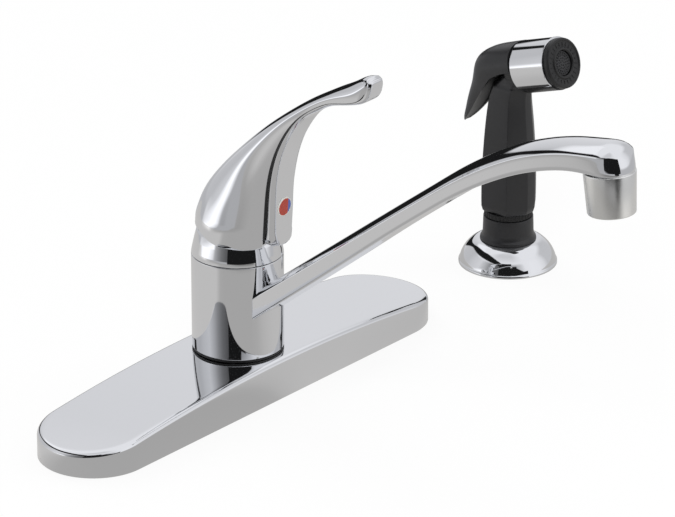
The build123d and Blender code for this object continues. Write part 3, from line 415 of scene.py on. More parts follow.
# its neck goes up into the arm, and its mouth is open
aeratorProfile = softCorners([(9.4, 8.0), (7.9, 8.0), (7.9, -3.0), (9.4, -3.0), (9.4, 0.15),
                              (aerator["topRadius"], 0.15), (aerator["mouthRadius"], aerator["length"]),
                              (9.45, aerator["length"]), (9.4, 8.0)],
                             [0, 0, 0, 0, 0, 0.4, 0.7, 0.3, 0])
handOver(lathe("aeratorShell", aeratorProfile, aeratorPlace), satinChrome, "spout_arm", "chrome", "aerator_shell")
print("aerator made")


# cap

capProfile = softCorners([(17.2, 75), (17.2, 69.2), (22.0, 69.2), (21.5, 72.0), (20.4, 77.0), (19.3, 81.2),
                          (13.4, 86.0), (11.7, 86.0), (11.7, 82.7), (17.2, 82.7), (17.2, 75)],
                         [0, 0, 0.3, 4, 8, 2.0, 1.0, 0.2, 0, 0, 0])
handOver(lathe("cap", capProfile, hubAxis), chrome, "base", "chrome", "cap")
print("cap made")


# handle: a shell that narrows to a blade, with a raised panel down its front

handle = {
    "edge": 0.5, "grooveDepth": 2.4,
    # how far the dark strip of painted shade in the recess lies behind the front edge: on the skirt, and on the
    # blade, where it stands proud as a fine painted dark line, with the heights between which it changes
    "recessShade": 0.35, "bladeLine": -0.35, "bladeFrom": (146, 158),
    "skirtMiddle": -2.7, "skirtInside": 91,  # y of the skirt's middle, and how high it is hollow
    # front y and z, back y and z, half width at the front edge, greatest half width, where that is
    "stations": [(-24.5, 87.5, 18.9, 91.0, 10.5, 21.2, 0.49), (-25.2, 97.5, 14.9, 100.8, 10.5, 18.8, 0.52),
                 (-26.1, 107.6, 8.5, 110.0, 10.5, 16.2, 0.53), (-27.9, 118.0, 0.6, 118.8, 10.5, 14.0, 0.52),
                 (-31.5, 129.5, -10.2, 129.2, 10.3, 12.3, 0.50), (-37.5, 141.0, -21.8, 139.5, 10.0, 11.0, 0.45),
                 (-44.8, 150.0, -34.8, 149.6, 9.3, 9.7, 0.40), (-52.0, 155.6, -47.5, 158.4, 8.0, 8.3, 0.35),
                 (-60.0, 160.1, -57.3, 164.2, 7.2, 7.4, 0.35), (-67.5, 162.2, -65.5, 168.8, 6.9, 7.1, 0.35),
                 (-75.0, 164.2, -72.8, 172.7, 6.8, 7.0, 0.35), (-79.5, 166.9, -78.8, 176.2, 6.4, 6.6, 0.38),
                 (-81.7, 169.9, -82.4, 177.2, 5.8, 6.0, 0.45)],
    "foot": (-22.6, 79.0, 19.2, 84.0, 8.8, 21.9, 0.49),  # the skirt's foot, in the same order
    # the rim, seen from the side: y, z
    "rim": [(-32, 78.9), (-24, 78.6), (-16, 78.3), (-7, 79.4), (0, 81.3), (6, 83.8), (13, 85.0), (26, 85.2)],
}
panel = {
    "root": 2.6,  # how deep it is let into the shell
    "behind": 8,  # from a row's front point to the point that gives its lean
    # for each station of the shell: half width, how far the panel stands out, its bevel across and down
    "rows": [(8.3, 4.1, 2.3, 2.0), (8.3, 3.8, 2.0, 1.8), (8.3, 3.3, 1.9, 1.7), (8.3, 2.8, 1.8, 1.6),
             (8.1, 2.4, 1.8, 1.5), (7.8, 2.5, 1.7, 1.4), (7.3, 2.3, 1.5, 1.2), (6.4, 2.0, 1.2, 1.0),
             (5.8, 1.8, 1.0, 0.8), (5.5, 1.7, 0.9, 0.7)],
    # its end wraps up round the tip: the same rows after front y, front z and how it leans
    "wrap": [(-75.0, 164.2, 14, 5.4, 1.7, 0.9, 0.7), (-78.6, 165.9, 27, 5.4, 1.9, 0.9, 0.8),
             (-80.9, 168.3, 49, 5.4, 2.2, 1.0, 0.9), (-81.9, 171.0, 70, 5.4, 2.3, 1.1, 1.0),
             (-82.3, 173.2, 82, 5.3, 2.3, 1.2, 1.1), (-82.5, 174.8, 88, 5.0, 2.1, 1.3, 1.2)],
    # its rounded foot: z, narrower by, and set back by
    "foot": [(79.6, 5.0, -1.0), (80.0, 3.3, -1.4), (81.0, 1.7, -1.6), (82.6, 0.6, -1.5), (85.0, 0.1, -0.9)],
}


def acrossLever(station, u, v):
    # u runs across the lever, and v from its front edge to its back
    frontY, frontZ, backY, backZ = station[:4]
    length = math.hypot(backY - frontY, backZ - frontZ)
    return (u, frontY + (backY - frontY) * v / length, frontZ + (backZ - frontZ) * v / length)


def shellOutline(station):
    frontY, frontZ, backY, backZ, frontHalf, widest, share = station
    length = math.hypot(backY - frontY, backZ - frontZ)
    belly = length * share
    half = []
    for t in np.linspace(0, 1, 12, endpoint=False):
        u = ((1 - t) ** 3 * frontHalf + 3 * t * (1 - t) ** 2 * (frontHalf + 0.5 * (widest - frontHalf))
             + 3 * t * t * (1 - t) * widest + t ** 3 * widest)
        v = 3 * t * (1 - t) ** 2 * 0.28 * belly + 3 * t * t * (1 - t) * 0.62 * belly + t ** 3 * belly
        half.append((u, v))
    for a in np.linspace(0, math.pi / 2, 16):
        half.append((widest * math.cos(a), belly + (length - belly) * math.sin(a)))
    depth = handle["grooveDepth"]
    inner = frontHalf - handle["edge"]
    front = [(0, depth), (inner * 0.5, depth), (inner - 0.3, depth), (inner, depth - 0.4), (inner, 0.25),
             (inner + 0.2, 0.02)]
    return front + half + [(-u, v) for u, v in reversed(half[:-1])] + [(-u, v) for u, v in reversed(front[1:])]


lever = smoothThrough(handle["stations"], 5)
rimY, rimZ = zip(*handle["rim"])
foot = handle["foot"]
footRow = [acrossLever(foot, u, v) for u, v in shellOutline(foot)]
footRow = [(x, y, float(np.interp(y, rimY, rimZ))) for x, y, z in footRow]
firstRow = [acrossLever(lever[0], u, v) for u, v in shellOutline(lever[0])]
middle = handle["skirtMiddle"]
rows = [[(0, middle, handle["skirtInside"])] * len(footRow)]
# the rim's thickness, turned in a little way up inside
for shrink, up in ((0.80, 6.0), (0.93, 6.0), (0.955, 0.3), (0.965, 0.0), (0.99, 0.0)):
    rows.append([(x * shrink, (y - middle) * shrink + middle, z + up) for x, y, z in footRow])
nextRow = [acrossLever(lever[1], u, v) for u, v in shellOutline(lever[1])]
for t in (0.03, 0.2, 0.4, 0.6, 0.8):
    row = []
    for a, b, c in zip(map(np.array, footRow), map(np.array, firstRow), map(np.array, nextRow)):
        # leaves the rim straight and runs on smoothly into the rows above
        onward = (c - b) * (b[2] - a[2]) / max(c[2] - b[2], 0.2)
        row.append(tuple(a * (2 * t ** 3 - 3 * t * t + 1) + (b - a) * (t ** 3 - 2 * t * t + t)
                         + b * (3 * t * t - 2 * t ** 3) + onward * (t ** 3 - t * t)))
    rows.append(row)
for station in lever:
    rows.append([acrossLever(station, u, v) for u, v in shellOutline(station)])
# the rounded tip
centre = np.array(acrossLever(lever[-1], 0, 3.8))
ahead = np.array((0, -0.93, 0.36))
last = rows[-1]
for shrink, out in ((0.92, 0.6), (0.78, 1.15), (0.5, 1.6), (0.0, 1.8)):
    rows.append([tuple(centre + (np.array(point) - centre) * shrink + ahead * out) for point in last])
handOver(pullGrid("handleShell", rows, closed=True), chrome, "lever", "chrome", "handle", crease=40)


def panelOutline(half, proud, across, down):
    face = half - across
    points = [(0, panel["root"]), (half, panel["root"]), (half, down - proud), (face, -proud),
              (face * 0.5, -proud - 0.05), (0, -proud - 0.08)]
    right = softCorners(points, [0, 0, 0.9, 1.6, 0, 0], steps=6)
    return right + [(-u, v) for u, v in reversed(right[1:-1])]


spine = []
for frontY, frontZ, backY, backZ, *_ in handle["stations"][:len(panel["rows"])]:
    reach = math.hypot(backY - frontY, backZ - frontZ) / panel["behind"]
    spine.append((frontY, frontZ, frontY + (backY - frontY) / reach, frontZ + (backZ - frontZ) / reach))
for frontY, frontZ, degrees, *_ in panel["wrap"]:
    lean = math.radians(degrees)
    spine.append((frontY, frontZ, frontY + panel["behind"] * math.sin(lean),
                  frontZ + panel["behind"] * math.cos(lean)))
sections = panel["rows"] + [row[3:] for row in panel["wrap"]]
bands = smoothThrough([(*place, *section) for place, section in zip(spine, sections)], 5)
rows = []
for z, narrower, back in panel["foot"]:
    t = (z - foot[1]) / (handle["stations"][0][1] - foot[1])
    station = [a * (1 - t) + b * t for a, b in zip(foot, lever[0])]
    half, proud, across, down = panel["rows"][0]
    outline = panelOutline(half - narrower, proud - back, across + 0.25, down)
    rows.append([(x, y, z) for x, y, _ in [acrossLever(station, u, v) for u, v in outline]])
rows.insert(0, [tuple(np.mean(np.array(rows[0]), axis=0))] * len(rows[0]))
for band in bands:
    rows.append([acrossLever(band[:4], u, v) for u, v in panelOutline(*band[4:])])
last = rows[-1]
centre = np.mean(np.array(last), axis=0)
upwards = np.array((0, 0.1, 1.0))
for shrink, up in ((0.93, 0.4), (0.75, 0.8), (0.4, 1.0), (0.0, 1.05)):
    rows.append([tuple(centre + (np.array(point) - centre) * shrink + upwards * up) for point in last])
handOver(pullGrid("frontPanel", rows, closed=True), chrome, "lever", "chrome", crease=40)


def recessShadeRow(station, edge, low):
    deep = handle["grooveDepth"] - 0.02
    corners = ((-edge, low), (edge, low), (edge, deep), (-edge, deep))
    return [acrossLever(station, u, v) for u, v in corners]


# a dark strip set into the recess between shell and panel: painted shade for the deep gap
rows = [[(x, y, 80.6) for x, y, _ in recessShadeRow(foot, foot[4] - handle["edge"], handle["recessShade"])]]
for station in lever:
    low = float(np.interp(station[1], handle["bladeFrom"], (handle["recessShade"], handle["bladeLine"])))
    rows.append(recessShadeRow(station, station[4] - handle["edge"] - 0.02, low))
recessShade = pullGrid("handleRecessShade", rows, closed=True)
fillOpenEdges(recessShade)
handOver(recessShade, darkAbsAndShade, "lever", "chrome", crease=30)

button = {"radius": 4.7, "middle": (0, -29.3, 99.2), "lean": 4.5, "rim": 0.45}
buttonTurn = Matrix.Rotation(math.radians(90 + button["lean"]), 4, "X")
buttonPlace = Matrix.Translation(button["middle"]) @ buttonTurn
radius, rim = button["radius"], button["rim"]
buttonProfile = [(0, -3.2), (radius - rim, -3.2), (radius - rim, 0.12), (radius * 0.6, 0.2), (0, 0.22)]
disc = lathe("button", buttonProfile, buttonPlace, 64)
handOver(disc, buttonPaint, "lever", "button_red", "temperature_button")
rimProfile = softCorners([(radius - rim, -3.0), (radius, -3.0), (radius, 0.16), (radius - rim, 0.16),
                          (radius - rim, -3.0)], [0, 0, 0.2, 0.1, 0])
handOver(lathe("buttonRim", rimProfile, buttonPlace, 64), whiteAbs, "lever", "button_red")
print("handle made")


# spray holder

sprayX, sprayY = 203.2, -6  # the axis of its sink hole
sprayPlace = uprightAt(sprayX, sprayY)
dome = smoothThrough([(24.5, 1.6), (23.8, 4.0), (22.5, 6.8), (20.8, 9.1), (18.7, 11.1), (16.5, 12.4),
                      (14.5, 12.8)], 4)
flange = [(13.0, 12.8), (13.0, 9.6), (19.0, 8.0), (23.3, 0), (24.9, 0), (24.9, 1.2), (24.7, 1.4)]
flange += [tuple(point) for point in dome] + [(13.0, 12.8)]
handOver(lathe("sprayFlange", flange, sprayPlace), chrome, "base", "chrome", "spray_flange", crease=45)
holder = softCorners([(10.2, -46), (12.4, -46), (12.4, 12.85), (14.3, 12.85), (14.1, 14.0), (13.2, 15.2),
                      (12.85, 17.0), (12.6, 25.4), (10.2, 25.4), (10.2, -46)],
                     [0, 0.3, 0, 0.2, 0.8, 1.0, 1.5, 0.4, 0.2, 0])
handOver(lathe("sprayHolder", holder, sprayPlace, 96), blackAbs, "base", "black_plastic", "spray_holder")

knurl = {
    "ribs": 38, "depth": 0.55,
    # radius, height, and whether the ribs are cut there
    "section": [(5.0, 25.7, 0), (9.6, 25.7, 0), (9.6, 25.75, 0), (12.0, 25.75, 0), (12.3, 26.1, 1), (12.3, 28.0, 1),
                (11.9, 28.5, 0), (5.0, 28.55, 0), (5.0, 25.7, 0)],
}
rows = []
for radius, height, cut in knurl["section"]:
    row = []
    for i, a in enumerate(np.linspace(0, 2 * math.pi, knurl["ribs"] * 4, endpoint=False)):
        inGroove = i % 4 > 1
        out = radius - cut * knurl["depth"] * inGroove
        row.append(sprayPlace @ Vector((out * math.cos(a), out * math.sin(a), height)))
    rows.append(row)
collar = pullGrid("collar", rows, closed=True)
stubProfile = [(5.0, -8), (9.2, -8), (9.6, -7.6), (9.6, 25.8), (5.0, 25.8), (5.0, -8)]
stub = lathe("couplingStub", stubProfile, sprayPlace, 64)
handOver(joinPieces(collar, stub), darkAbsAndShade, "spray", "black_plastic", "hose_coupling", crease=25)
print("spray holder made")


# spray wand

wand = {
    # height, corner radius of the eight-sided grip, how far its middle stands forward
    "stations": [(28.6, 12.9, 0), (29.5, 13.8, 0), (31.8, 14.5, 0), (36.0, 14.6, 0), (49.0, 14.5, 0),
                 (58.0, 14.1, 0), (66.0, 13.6, 0), (76.0, 12.8, 0), (86.0, 11.7, 0.1), (91.0, 11.1, 0.6),
                 (96.0, 10.5, 1.8)],
    "shoulder": [(96.4, 10.2, 2.1), (98.5, 9.8, 3.7), (101.5, 9.3, 6.0), (105.0, 8.9, 8.4)],
    # where the corners lie, in degrees from the front: wide flat sides, narrow front
    "corners": (12, 57, 123, 168, 192, 237, 303, 348),
    "gripRound": 1.0, "shoulderRound": 3.5,  # rounding of the corners
}


def gripRow(height, corner, forward, rounding):
    points = []
    for degrees in wand["corners"]:
        turn = math.radians(degrees)
        points.append((corner * math.sin(turn), -corner * math.cos(turn)))
    outline = softCorners(points, rounding, closed=True)
    return [(sprayX + x, sprayY - forward + y, height) for x, y in outline]


# the first and last rows close the grip below and inside the head
gripStations = [*wand["stations"][:2], *smoothThrough(wand["stations"][2:], 3)]
rows = [gripRow(28.6, 4, 0, 1)]
rows += [gripRow(*station, wand["gripRound"]) for station in gripStations]
rows += [gripRow(*station, wand["shoulderRound"]) for station in wand["shoulder"]]
rows.append(gripRow(105.1, 0.01, 8.4, 0.001))
grip = pullGrid("grip", rows, closed=True)

# the head's own frame: its Z axis runs forward and a little up
headTilt = math.radians(17.8)
headPlace = Matrix(((1, 0, 0, sprayX), (0, math.sin(headTilt), -math.cos(headTilt), -16),
                    (0, math.cos(headTilt), math.sin(headTilt), 106.9), (0, 0, 0, 1)))
coreProfile = softCorners([(0, -9.5), (9.2, -9.5), (9.2, 0.2), (12.3, 0.2), (12.3, 21.2), (0, 21.2)],
                          [0, 3.0, 0.3, 0.6, 0.4, 0])
core = lathe("headCore", coreProfile, headPlace, 96)


def roundHead(profile, fromDegrees, toDegrees, steps):
    # part of a turning about the head's axis, closed at both ends
    rows = []
    for a in np.linspace(math.radians(fromDegrees), math.radians(toDegrees), steps):
        rows.append([headPlace @ Vector((r * math.cos(a), r * math.sin(a), s)) for r, s in profile])
    return closeEnds(rows)


# the keel fills the gap that the chrome sleeve leaves below
keelProfile = [(11.5, 0.4), (13.0, 0.6), (13.2, 1.2), (13.2, 21.0), (11.5, 21.2)]
keel = pullGrid("keel", roundHead(keelProfile, -90 - 46, -90 + 46, 25), closed=True)
handOver(joinPieces(grip, core, keel), blackAbs, "spray", "black_plastic", "spray_body", crease=28)

# "opening" is half of the gap below, in degrees, and "lip" a small bead at the front edge
sleeve = {"radius": 13.3, "bore": 12.4, "length": 21.4, "opening": 48, "lip": 0.7}
lipStart = sleeve["length"] - sleeve["lip"]
sleeveProfile = softCorners([(sleeve["bore"], 0), (sleeve["radius"], 0), (sleeve["radius"], lipStart - 0.15),
                             (sleeve["radius"] + 0.18, lipStart), (sleeve["radius"] + 0.2, sleeve["length"] - 0.1),
                             (sleeve["bore"], sleeve["length"])], [0, 0.3, 0.1, 0.1, 0.12, 0], steps=4)
rows = roundHead(sleeveProfile, -90 + sleeve["opening"], 270 - sleeve["opening"], 97)
handOver(pullGrid("headSleeve", rows, closed=True), chrome, "spray", "spray_chrome", "head_sleeve")

nozzleProfile = softCorners([(6.3, 21.5), (12.7, 21.5), (12.75, 23.4), (12.5, 24.6), (11.6, 24.9), (10.9, 24.2),
                             (8.2, 24.0), (7.7, 24.7), (6.9, 24.8), (6.3, 24.2), (6.3, 21.5)],
                            [0, 0.2, 0.8, 0.5, 0.5, 0.5, 0.4, 0.3, 0.3, 0.2, 0])
nozzleRing = lathe("nozzleRing", nozzleProfile, headPlace, 96)
# the bars between the small slots round the mouth
bars = {"count": 24, "out": 9.5, "corners": ((-0.9, -0.28), (0.9, -0.34), (0.9, 0.34), (-0.9, 0.28))}
for k in range(bars["count"]):
    turned = Matrix.Rotation(2 * math.pi * k / bars["count"], 4, "Z")
    barPlace = turned @ Matrix.Translation((bars["out"], 0, 24.0))
    rows = [[headPlace @ (barPlace @ Vector((x * long, y * wide, z))) for x, y in bars["corners"]]
            for long, wide, z in ((1, 1, -0.6), (1, 1, 0.22), (0.8, 0.6, 0.34))]
    bar = pullGrid("slot", rows, closed=True)
    fillOpenEdges(bar)
    joinPieces(nozzleRing, bar)
handOver(nozzleRing, darkAbsAndShade, "spray", "black_plastic", "nozzle_ring")

faceProfile = [(0, 21.4), (6.2, 21.4), (6.2, 23.0), (5.9, 23.4), (5.6, 23.3), (3.0, 23.45), (0, 23.5)]
sprayFace = lathe("sprayFace", faceProfile, headPlace, 64)
# nipples of the perforated face, in rings
nippleProfile = [(0.42, 23.2), (0.4, 23.75), (0.18, 23.8), (0.16, 23.5), (0, 23.5)]
for ring, count in ((1.2, 5), (2.6, 11), (4.0, 17), (5.1, 22)):
    for k in range(count):
        turn = 2 * math.pi * k / count
        spot = headPlace @ Matrix.Translation((ring * math.cos(turn), ring * math.sin(turn), 0))
        joinPieces(sprayFace, lathe("nipple", nippleProfile, spot, 8))
handOver(sprayFace, greyAbs, "spray", "black_plastic", "spray_face")
print("spray head made")


# trigger: a saddle over the head that runs down into a lever

trigger = {
    # edge y and z, back y and z, half width, depth of the hollow
    "stations": [(-15.1, 106.9, -11.4, 119.2, 13.1, 11.4), (-10.5, 105.4, -6.6, 117.5, 13.2, 10.6),
                 (-6.5, 103.4, 0.3, 115.0, 13.1, 10.5), (-3.0, 101.0, 6.6, 111.9, 12.9, 10.6),
                 (-0.6, 98.2, 11.2, 107.4, 12.4, 10.0), (2.0, 95.0, 12.9, 101.7, 11.6, 8.0),
                 (5.1, 90.8, 14.2, 95.0, 10.3, 4.6), (9.6, 84.2, 16.9, 86.6, 8.6, 2.4),
                 (14.4, 77.4, 19.1, 78.8, 6.5, 1.0), (17.9, 73.0, 20.6, 74.0, 4.6, 0.6),
                 (20.4, 70.4, 21.5, 71.0, 2.4, 0.3)],
    "wall": 1.6,
    "square": 0.8,  # 1 makes the section an ellipse, and less makes it squarer
}


def saddleRow(edgeY, edgeZ, backY, backZ, half, hollow):
    depth = math.hypot(backY - edgeY, backZ - edgeZ)
    outY, outZ = (backY - edgeY) / depth, (backZ - edgeZ) / depth
    square = trigger["square"]
    points = [(half * math.copysign(abs(math.cos(a)) ** square, math.cos(a)), depth * math.sin(a) ** square)
              for a in np.linspace(0, math.pi, 33)]
    inner = max(half - trigger["wall"], half * 0.7)
    points += [(inner * math.cos(a), hollow * math.sin(a)) for a in np.linspace(math.pi, 0, 25)]
    return [(sprayX + u, edgeY + outY * v, edgeZ + outZ * v) for u, v in points]


rows = [saddleRow(*station) for station in smoothThrough(trigger["stations"], 5)]
rows.append([tuple(np.mean(np.array(rows[-1]), axis=0) + np.array((0, 0.2, -0.5)))] * len(rows[0]))
triggerPiece = pullGrid("trigger", rows, closed=True)
fillOpenEdges(triggerPiece)
handOver(triggerPiece, blackAbs, "spray_lever", "black_plastic", "trigger", crease=40)
print("trigger made")


# pieces kept from the CAD, with their finishes

keptFinishes = {
    "base_gasket": rubber, "valve_body": brass, "shank_washers": steel, "shank_nuts": brass,
    "diverter": whiteAbs, "valve_seats": rubber, "seat_springs": steel, "spout_rings": rubber,
    "cam": whiteAbs, "adjusting_ring": brass, "holder_washer": rubber, "holder_nut": darkAbsAndShade,
    "aerator_screen": whiteAbs, "aerator_washer": rubber, "packing_ring": rubber, "ball": steel,
    "set_screw": steel, "trigger_pin": blackAbs, "spray_plunger": darkAbsAndShade,
}
for nodeName, finish in keptFinishes.items():
    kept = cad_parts[nodeName]
    for materialSlot in kept.material_slots:
        materialSlot.material = finish


# floor, backdrop and lights

studio = {
    "facing": 140.7,  # degrees that turn the camera's bearing to 0
    "floorSize": 12,  # metres
    "shadow": 0.14,  # how much of the real shadow shows on the paper
    "paperTint": (0.955, 0.94, 0.925), "wallTint": (0.985, 0.99, 1.02, 1),  # as the metal sees them
    "dark": 0.012,  # brightness of the gap below
    "plainLight": 0.7,  # on all that isn't a reflection
    # metres from the hub to the edge of the paper, as the metal sees it, by degrees round from the camera
    "paper": [(-180, 0.20), (-160, 0.24), (-138, 0.62), (148, 0.62), (160, 0.34), (180, 0.20)],
    # brightness of the paper in the metal: degrees round from the camera, level
    "floorLevels": [(-180, 0.62), (-150, 0.66), (-120, 0.675), (-50, 0.68), (-40, 0.515), (-30, 0.495),
                    (30, 0.495), (45, 0.52), (60, 0.585), (75, 0.62), (90, 0.64), (110, 0.64), (130, 0.60),
                    (145, 0.56), (160, 0.58), (180, 0.62)],
    # the same further out, and the metres from the hub over which it changes
    "farLevels": [(-180, 0.62), (-112, 0.67), (-100, 0.90), (-86, 1.10), (-77, 0.66), (-68, 0.54), (-50, 0.48),
                  (-15, 0.42), (5, 0.28), (38, 0.26), (56, 0.95), (70, 0.85), (85, 0.64), (180, 0.62)],
    "far": (0.32, 0.48),
    # brightness of the walls, in the same way
    "wallLevels": [(-180, 0.84), (-150, 0.72), (-144, 0.64), (-112, 0.62), (-96, 0.72), (-76, 0.80),
                   (-60, 0.54), (-50, 0.34), (-40, 0.21), (-24.6, 0.11), (-24.5, 0.30), (5, 0.35), (20, 0.52),
                   (33, 0.72), (42, 0.95), (60, 1.0), (80, 0.98), (95, 0.88), (108, 0.66), (150, 0.64),
                   (166, 0.80), (180, 0.84)],
    # screens hung in front of the walls: from and to round, from and to up, their slope, softness, level
    "screens": [
        (-400, 400, -90, -4, 0.0, 3, 0.56),
        (-80, -25, -90, -2, 0.0, 3, 0.50),
        (-112, -86, -18, -1, 0.0, 6, 0.88),
        (-400, 400, 38, 120, 0.0, 10, 0.97),
        (-66, 34, 58, 84, 0.0, 34, 0.66),
        (-160, -92, 37, 54, 0.0, 6, 1.08),
        (-24.5, 47, -12.5, 11, 0.0, 1.0, 0.012),
        (-24.5, 8, 10, 43, 0.0, 1.0, 0.012),
        (7, 21, 8, 31, 0.0, 1.5, 0.012),
        (20, 40, 0, 44, -0.9, 1.5, 0.012),
        (-106, -60, 20.5, 30, 0.35, 6, 1.35),
    ],
    # the dark gap that runs up and over between the screens: degrees round, and the heights of its two edges
    "gap": [(-180, -16, 1), (-172, -13, 4), (-165, -8, 9), (-157, -3, 13), (-150, 5, 19), (-143, 15, 27),
            (-135, 25, 38), (-128, 29, 43), (-120, 32, 46.5), (-105, 36, 51.5), (-90, 39, 56), (-75, 40.5, 57),
            (-60, 40, 56.5), (-45, 38, 54), (-30, 34, 49), (-22, 31, 44), (-12, -85, -85), (150, -85, -85),
            (160, -17, -3), (168, -16, 0), (180, -16, 1)],
}


def brightnessRound(tree, around, levels):
    # levels set by degrees round from the camera, run through a colour ramp
    share = addNode(tree, "ShaderNodeMapRange", {"From Min": -180.0, "From Max": 180.0}, {"Value": around})
    ramp = addNode(tree, "ShaderNodeValToRGB", links={0: share.outputs[0]})
    stops = ramp.color_ramp.elements
    stops[0].position, stops[1].position = 0, 1
    for degrees, _ in levels[1:-1]:
        stops.new((degrees + 180) / 360)
    for stop, (_, level) in zip(stops, levels):
        stop.color = (level, level, level, 1)
    return ramp.outputs[0]


def degreesRound(tree, place):
    # angle of a place round the hub, from the camera towards the right of the photograph
    parts = addNode(tree, "ShaderNodeSeparateXYZ", links={0: place}).outputs
    turned = addNode(tree, "ShaderNodeMath", {"operation": "ARCTAN2"}, {0: parts["Y"], 1: parts["X"]})
    shifted = addNode(tree, "ShaderNodeMath", {"operation": "ADD", 1: math.radians(studio["facing"])},
                      {0: turned.outputs[0]})
    wrapped = addNode(tree, "ShaderNodeMath", {"operation": "WRAP", 1: math.pi, 2: -math.pi},
                      {0: shifted.outputs[0]})
    return addNode(tree, "ShaderNodeMath", {"operation": "DEGREES"}, {0: wrapped.outputs[0]}).outputs[0]


def edgeMask(tree, value, low, high, soft):
    # 1 between low and high, falling to 0 over soft
    half = soft / 2
    up = addNode(tree, "ShaderNodeMapRange", {"From Min": low - half, "From Max": low + half}, {"Value": value})
    down = addNode(tree, "ShaderNodeMapRange", {"From Min": high + half, "From Max": high - half}, {"Value": value})
    both = addNode(tree, "ShaderNodeMath", {"operation": "MULTIPLY"}, {0: up.outputs[0], 1: down.outputs[0]})
    return both.outputs[0]


def floorFinish():
    # white paper: plain to the camera, with a faint shadow, and grey in the metal as far as its edge
    finish = bpy.data.materials.new("floor paper")
    finish.use_nodes = True
    tree = finish.node_tree
    tree.nodes.clear()
    ray = addNode(tree, "ShaderNodeLightPath")
    place = addNode(tree, "ShaderNodeTexCoord").outputs["Object"]
    matt = addNode(tree, "ShaderNodeBsdfDiffuse", {"Color": toLinear("#ffffff")})
    white = addNode(tree, "ShaderNodeEmission", {"Strength": 1.0})
    seen = addNode(tree, "ShaderNodeMixShader", {0: studio["shadow"]}, {1: white.outputs[0], 2: matt.outputs[0]})
    around = degreesRound(tree, place)
    level = brightnessRound(tree, around, studio["floorLevels"])
    farLevel = brightnessRound(tree, around, studio["farLevels"])
    away = addNode(tree, "ShaderNodeVectorMath", {"operation": "LENGTH"}, {0: place})
    near, far = studio["far"]
    farShare = addNode(tree, "ShaderNodeMapRange", {"From Min": near, "From Max": far},
                       {"Value": away.outputs["Value"]})
    lit = addNode(tree, "ShaderNodeMix", {"data_type": "RGBA"}, {0: farShare.outputs[0], 6: level, 7: farLevel})
    warm = addNode(tree, "ShaderNodeVectorMath", {"operation": "MULTIPLY", 1: studio["paperTint"]},
                   {0: lit.outputs[2]})
    inMetal = addNode(tree, "ShaderNodeEmission", {"Strength": 1.0}, {"Color": warm.outputs[0]})
    paperEdge = brightnessRound(tree, around, studio["paper"])
    beyond = addNode(tree, "ShaderNodeMath", {"operation": "GREATER_THAN"},
                     {0: away.outputs["Value"], 1: paperEdge})
    through = addNode(tree, "ShaderNodeBsdfTransparent")
    mirror = addNode(tree, "ShaderNodeMixShader", None,
                     {0: beyond.outputs[0], 1: inMetal.outputs[0], 2: through.outputs[0]})
    other = addNode(tree, "ShaderNodeMixShader", None,
                    {0: ray.outputs["Is Glossy Ray"], 1: matt.outputs[0], 2: mirror.outputs[0]})
    either = addNode(tree, "ShaderNodeMixShader", None,
                     {0: ray.outputs["Is Camera Ray"], 1: other.outputs[0], 2: seen.outputs[0]})
    addNode(tree, "ShaderNodeOutputMaterial", links={"Surface": either.outputs[0]})
    return finish


bpy.ops.mesh.primitive_plane_add(size=studio["floorSize"], location=(0, 0, 0))
floor = bpy.context.object
floor.name = "floor"
floor.data.materials.append(floorFinish())

world = bpy.data.worlds.new("studio")
bpy.context.scene.world = world
world.use_nodes = True
tree = world.node_tree
tree.nodes.clear()
ray = addNode(tree, "ShaderNodeLightPath")
heading = addNode(tree, "ShaderNodeTexCoord").outputs["Generated"]
around = degreesRound(tree, heading)
upward = addNode(tree, "ShaderNodeSeparateXYZ", links={0: heading}).outputs["Z"]
slant = addNode(tree, "ShaderNodeMath", {"operation": "ARCSINE"}, {0: upward})
rise = addNode(tree, "ShaderNodeMath", {"operation": "DEGREES"}, {0: slant.outputs[0]}).outputs[0]
paint = brightnessRound(tree, around, studio["wallLevels"])
for left, right, low, high, slope, soft, level in studio["screens"]:
    leaned = addNode(tree, "ShaderNodeMath", {"operation": "MULTIPLY_ADD", 1: -slope}, {0: around, 2: rise})
    sideways = edgeMask(tree, around, left, right, soft)
    upright = edgeMask(tree, leaned.outputs[0], low, high, soft)
    both = addNode(tree, "ShaderNodeMath", {"operation": "MULTIPLY"}, {0: sideways, 1: upright})
    mixed = addNode(tree, "ShaderNodeMix", {"data_type": "RGBA", 7: (level, level, level, 1)},
                    {0: both.outputs[0], 6: paint})
    paint = mixed.outputs[2]
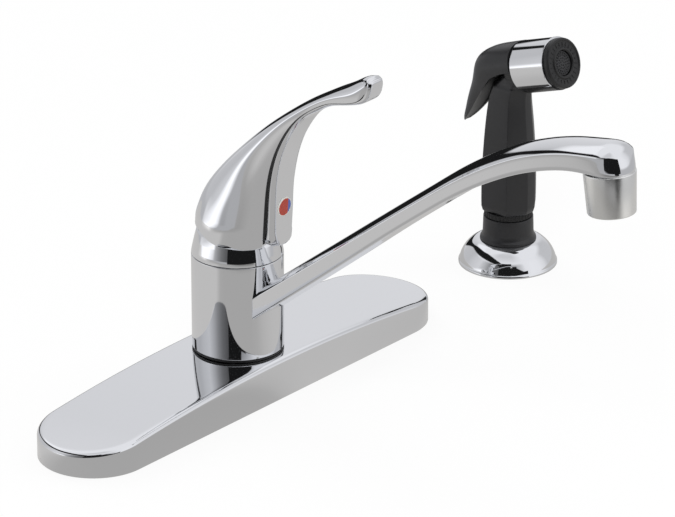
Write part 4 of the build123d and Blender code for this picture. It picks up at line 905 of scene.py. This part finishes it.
# the gap's edges go through a ramp as shares of the way from straight down to straight up
gapSides = []
for edge, sign in ((1, 1), (2, -1)):
    shares = brightnessRound(tree, around, [(stop[0], (stop[edge] + 90) / 180) for stop in studio["gap"]])
    below = addNode(tree, "ShaderNodeMath", {"operation": "MULTIPLY_ADD", 1: -180.0, 2: 90.0}, {0: shares})
    above = addNode(tree, "ShaderNodeMath", {"operation": "ADD"}, {0: below.outputs[0], 1: rise})
    side = addNode(tree, "ShaderNodeMapRange", {"From Min": -sign, "From Max": sign}, {"Value": above.outputs[0]})
    gapSides.append(side.outputs[0])
inGap = addNode(tree, "ShaderNodeMath", {"operation": "MULTIPLY"}, {0: gapSides[0], 1: gapSides[1]}).outputs[0]
dark = (studio["dark"],) * 3 + (1,)
gap = addNode(tree, "ShaderNodeMix", {"data_type": "RGBA", 7: dark}, {0: inGap, 6: paint})
tint = addNode(tree, "ShaderNodeMix",
               {"data_type": "RGBA", "blend_type": "MULTIPLY", 0: 1.0, 7: studio["wallTint"]}, {6: gap.outputs[2]})
skyLight = addNode(tree, "ShaderNodeBackground", {"Strength": 1.0}, {"Color": tint.outputs[2]})
plain = addNode(tree, "ShaderNodeBackground", {"Color": (1, 1, 1, 1), "Strength": studio["plainLight"]})
white = addNode(tree, "ShaderNodeBackground", {"Color": (1, 1, 1, 1), "Strength": 1.0})
glossy = addNode(tree, "ShaderNodeMixShader", None,
                 {0: ray.outputs["Is Glossy Ray"], 1: plain.outputs[0], 2: skyLight.outputs[0]})
backdrop = addNode(tree, "ShaderNodeMixShader", None,
                   {0: ray.outputs["Is Camera Ray"], 1: glossy.outputs[0], 2: white.outputs[0]})
addNode(tree, "ShaderNodeOutputWorld", links={"Surface": backdrop.outputs[0]})

# place and size in metres, power in watts; the metal doesn't mirror them
lamps = [("keyLamp", (-1.6, -1.2, 2.0), 1.2, 22), ("fillLamp", (1.8, -1.6, 1.4), 1.4, 9),
         ("backLamp", (0.6, 2.0, 1.8), 1.4, 9)]
lampTarget = Vector((0.06, -0.06, 0.08))
for name, place, size, power in lamps:
    bpy.ops.object.light_add(type="AREA", location=place)
    lamp = bpy.context.object
    lamp.name = name
    lamp.data.size, lamp.data.energy = size, power
    lamp.rotation_euler = (lampTarget - Vector(place)).to_track_quat("-Z", "Y").to_euler()
    lamp.visible_glossy = False
bpy.context.scene.view_settings.view_transform = "Standard"
print("studio lit")
